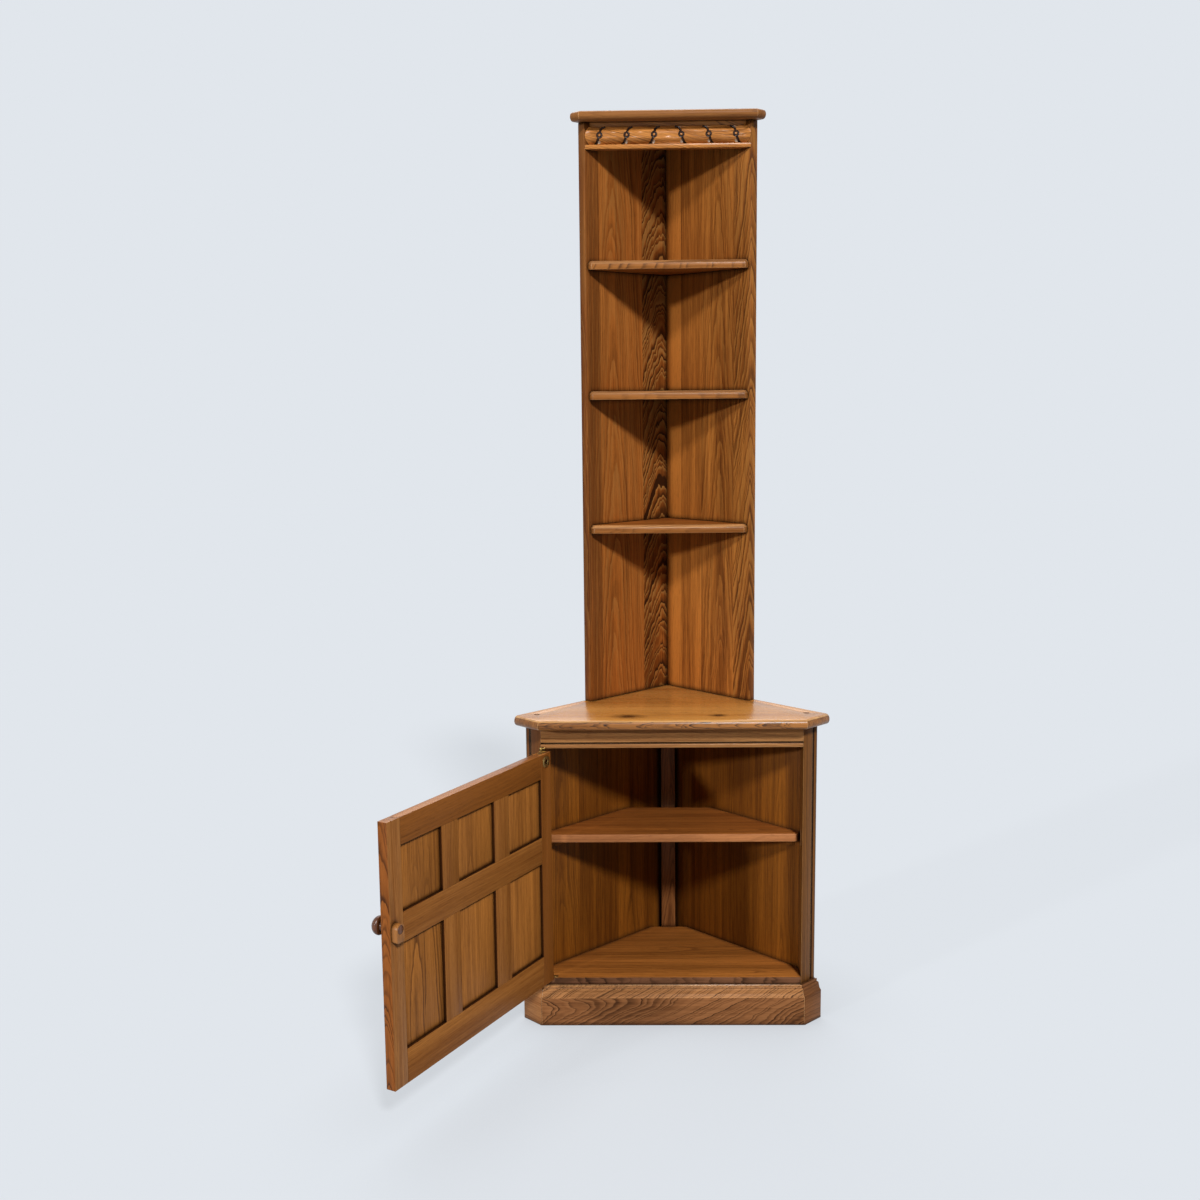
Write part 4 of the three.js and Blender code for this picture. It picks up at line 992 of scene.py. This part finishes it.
frame_light = {"door_lock_stile": "#C08247", "door_hinge_stile": "#8A5220", "door_top_rail": "#9C5E26"}
frame_pieces = {
    "door_hinge_stile": UP,
    "door_lock_stile": UP,
    "door_top_rail": ALONG_DOOR,
    "door_middle_rail": ALONG_DOOR,
    "door_bottom_rail": ALONG_DOOR,
    "door_muntin_upper_hinge": UP,
    "door_muntin_upper_lock": UP,
    "door_muntin_lower_hinge": UP,
    "door_muntin_lower_lock": UP,
}
for number, (cad_node, grain) in enumerate(frame_pieces.items()):
    across = UP if grain is ALONG_DOOR else ALONG_DOOR
    wood = elm(
        "satin lacquered elm", cad_node, grain, across, seed=110.0 + number,
        boards=(Board(52, pith=-0.8, ring=4.5, slope=0.02, figure=0.28),),
        light=frame_light.get(cad_node, "#B07235"), deep="#844E1F", lines="#40200A",
    )
    stained = elm(
        "dark stained elm", cad_node, grain, across, part="recess", seed=120.0 + number,
        boards=(Board(52, figure=0.2),), light="#583114", deep="#361C0B", lines="#1E0E06", roughness=0.5,
    )
    edge = elm(
        "satin lacquered elm", cad_node, grain, DOOR_FACING, part="free edge", seed=140.0 + number,
        boards=(Board(20, pith=0.3, ring=5.0, slope=0.12, figure=0.9, ripple=0.8, depth=4),),
        light="#A8622A", deep="#703C15", lines="#3A1C09",
    )
    # painted highlight: the door's top faces are coloured paler, as light from above falls on them
    top = elm(
        "highlit elm", cad_node, grain, DOOR_FACING, part="top", seed=160.0 + number,
        light="#D08A48", deep="#A4622E", roughness=0.3, shine=0.3,
    )
    eased(
        cad_node, wood, "door", ease=1.0,
        faces=((stained, in_recess), (edge, at_free_edge), (top, on_door_top)),
    )

panel_figures = {
    "upper_hinge": {"ring": 6.0, "figure": 0.25},
    "upper_middle": {"ring": 6.0, "figure": 0.4},
    "upper_lock": {"ring": 6.0, "figure": 0.35},
    "lower_hinge": {"ring": 6.0, "figure": 0.25},
    "lower_middle": {"ring": 6.0, "figure": 0.2},
    "lower_lock": {"ring": 9.0, "figure": 0.85},
}
for number, (place, grown_as) in enumerate(panel_figures.items()):
    cad_node = f"door_panel_{place}"
    low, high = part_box(cad_node)
    half_length = (high.z - low.z) / 2 / MM - PANEL_INSET
    half_width = abs((high - low).x / math.cos(DOOR_TURN)) / 2 / MM - PANEL_INSET
    # each panel's edges are darkened by old staining and painted shade
    plain(
        "satin lacquered elm", cad_node, UP, ALONG_DOOR, seed=130.0 + number, body="door", ease=0.6,
        boards=(Board(60, pith=0.7, tone=0.55, **grown_as), Board(66, pith=0.3, tone=0.65, **grown_as)),
        stain=(half_length, half_width), light="#C47E38", deep="#8A5422", lines="#45220C",
    )

# Pivot hinges and the round fitting: cast and turned brass, screwed on, dulled and browned with age.
# The slotted screw of the fitting is browner than the rest, where dirt and old polish stay.
BRASS_SPOT = 2.5  # size of the brown spots, mm
POLISHED, DULL = 0.28, 0.5  # roughness of the palest and of the brownest spots
BRASS_RELIEF = 0.1  # mm


def aged_brass(name, pale, brown):
    """Aged brass: soft gloss in the pale places, and dull brown spots between them."""
    made = bpy.data.materials.new(name)
    made.use_nodes = True
    tree = made.node_tree
    add = partial(node, tree)
    shader = tree.nodes["Principled BSDF"]
    place = add("ShaderNodeTexCoord").outputs["Object"]
    cloud = add("ShaderNodeTexNoise", {"Vector": place, "Scale": 1 / (BRASS_SPOT * MM), "Detail": 5.0})
    colours = {"Factor": cloud, "A": linear(pale), "B": linear(brown)}
    tint = add("ShaderNodeMix", colours, data_type="RGBA")
    tree.links.new(tint.outputs["Result"], shader.inputs["Base Color"])
    spread = {"Value": cloud, "From Min": 0.2, "From Max": 0.8, "To Min": POLISHED, "To Max": DULL}
    rough = add("ShaderNodeMapRange", spread)
    tree.links.new(rough.outputs[0], shader.inputs["Roughness"])
    bump = add("ShaderNodeBump", {"Height": cloud, "Strength": 0.2, "Distance": BRASS_RELIEF * MM})
    tree.links.new(bump.outputs[0], shader.inputs["Normal"])
    shader.inputs["Metallic"].default_value = 1.0
    return made


brass = aged_brass("aged brass", "#D2B878", "#94773F")
brown_brass = aged_brass("browned brass screw", "#5E4726", "#33240F")
for cad_node, body in (
    ("hinge_top_case_leaf", "cabinet"),
    ("hinge_bottom_case_leaf", "cabinet"),
    ("hinge_top_pin", "cabinet"),
    ("hinge_bottom_pin", "cabinet"),
    ("hinge_top_door_leaf", "door"),
    ("hinge_bottom_door_leaf", "door"),
    ("hinge_fitting_flange", "door"),
):
    eased(cad_node, brass, body, ease=0.25)
eased("hinge_fitting_screw", brown_brass, "door", ease=0.25)

# Knob and turn button: turned and shaped from elm, glossy from handling, fixed on one shank
# that goes through the lock stile. The end of the shank shows as a darker plug in the button.
plain(
    "handled lacquered elm", "knob", UP, ALONG_DOOR, seed=150.0, body="catch", ease=0.5,
    boards=(Board(36, ring=4.0, slope=0.05),),
    light="#7A4420", deep="#502B12", lines="#2C1608", roughness=0.26, shine=0.5,
)
plain(
    "handled lacquered elm", "turn_button", UP, ALONG_DOOR, seed=152.0, body="catch", ease=1.2,
    boards=(Board(22, pith=1.4, ring=4.0, figure=0.3),),
    light="#B97B3E", deep="#96602C", lines="#5F3718", roughness=0.3, shine=0.3,
)
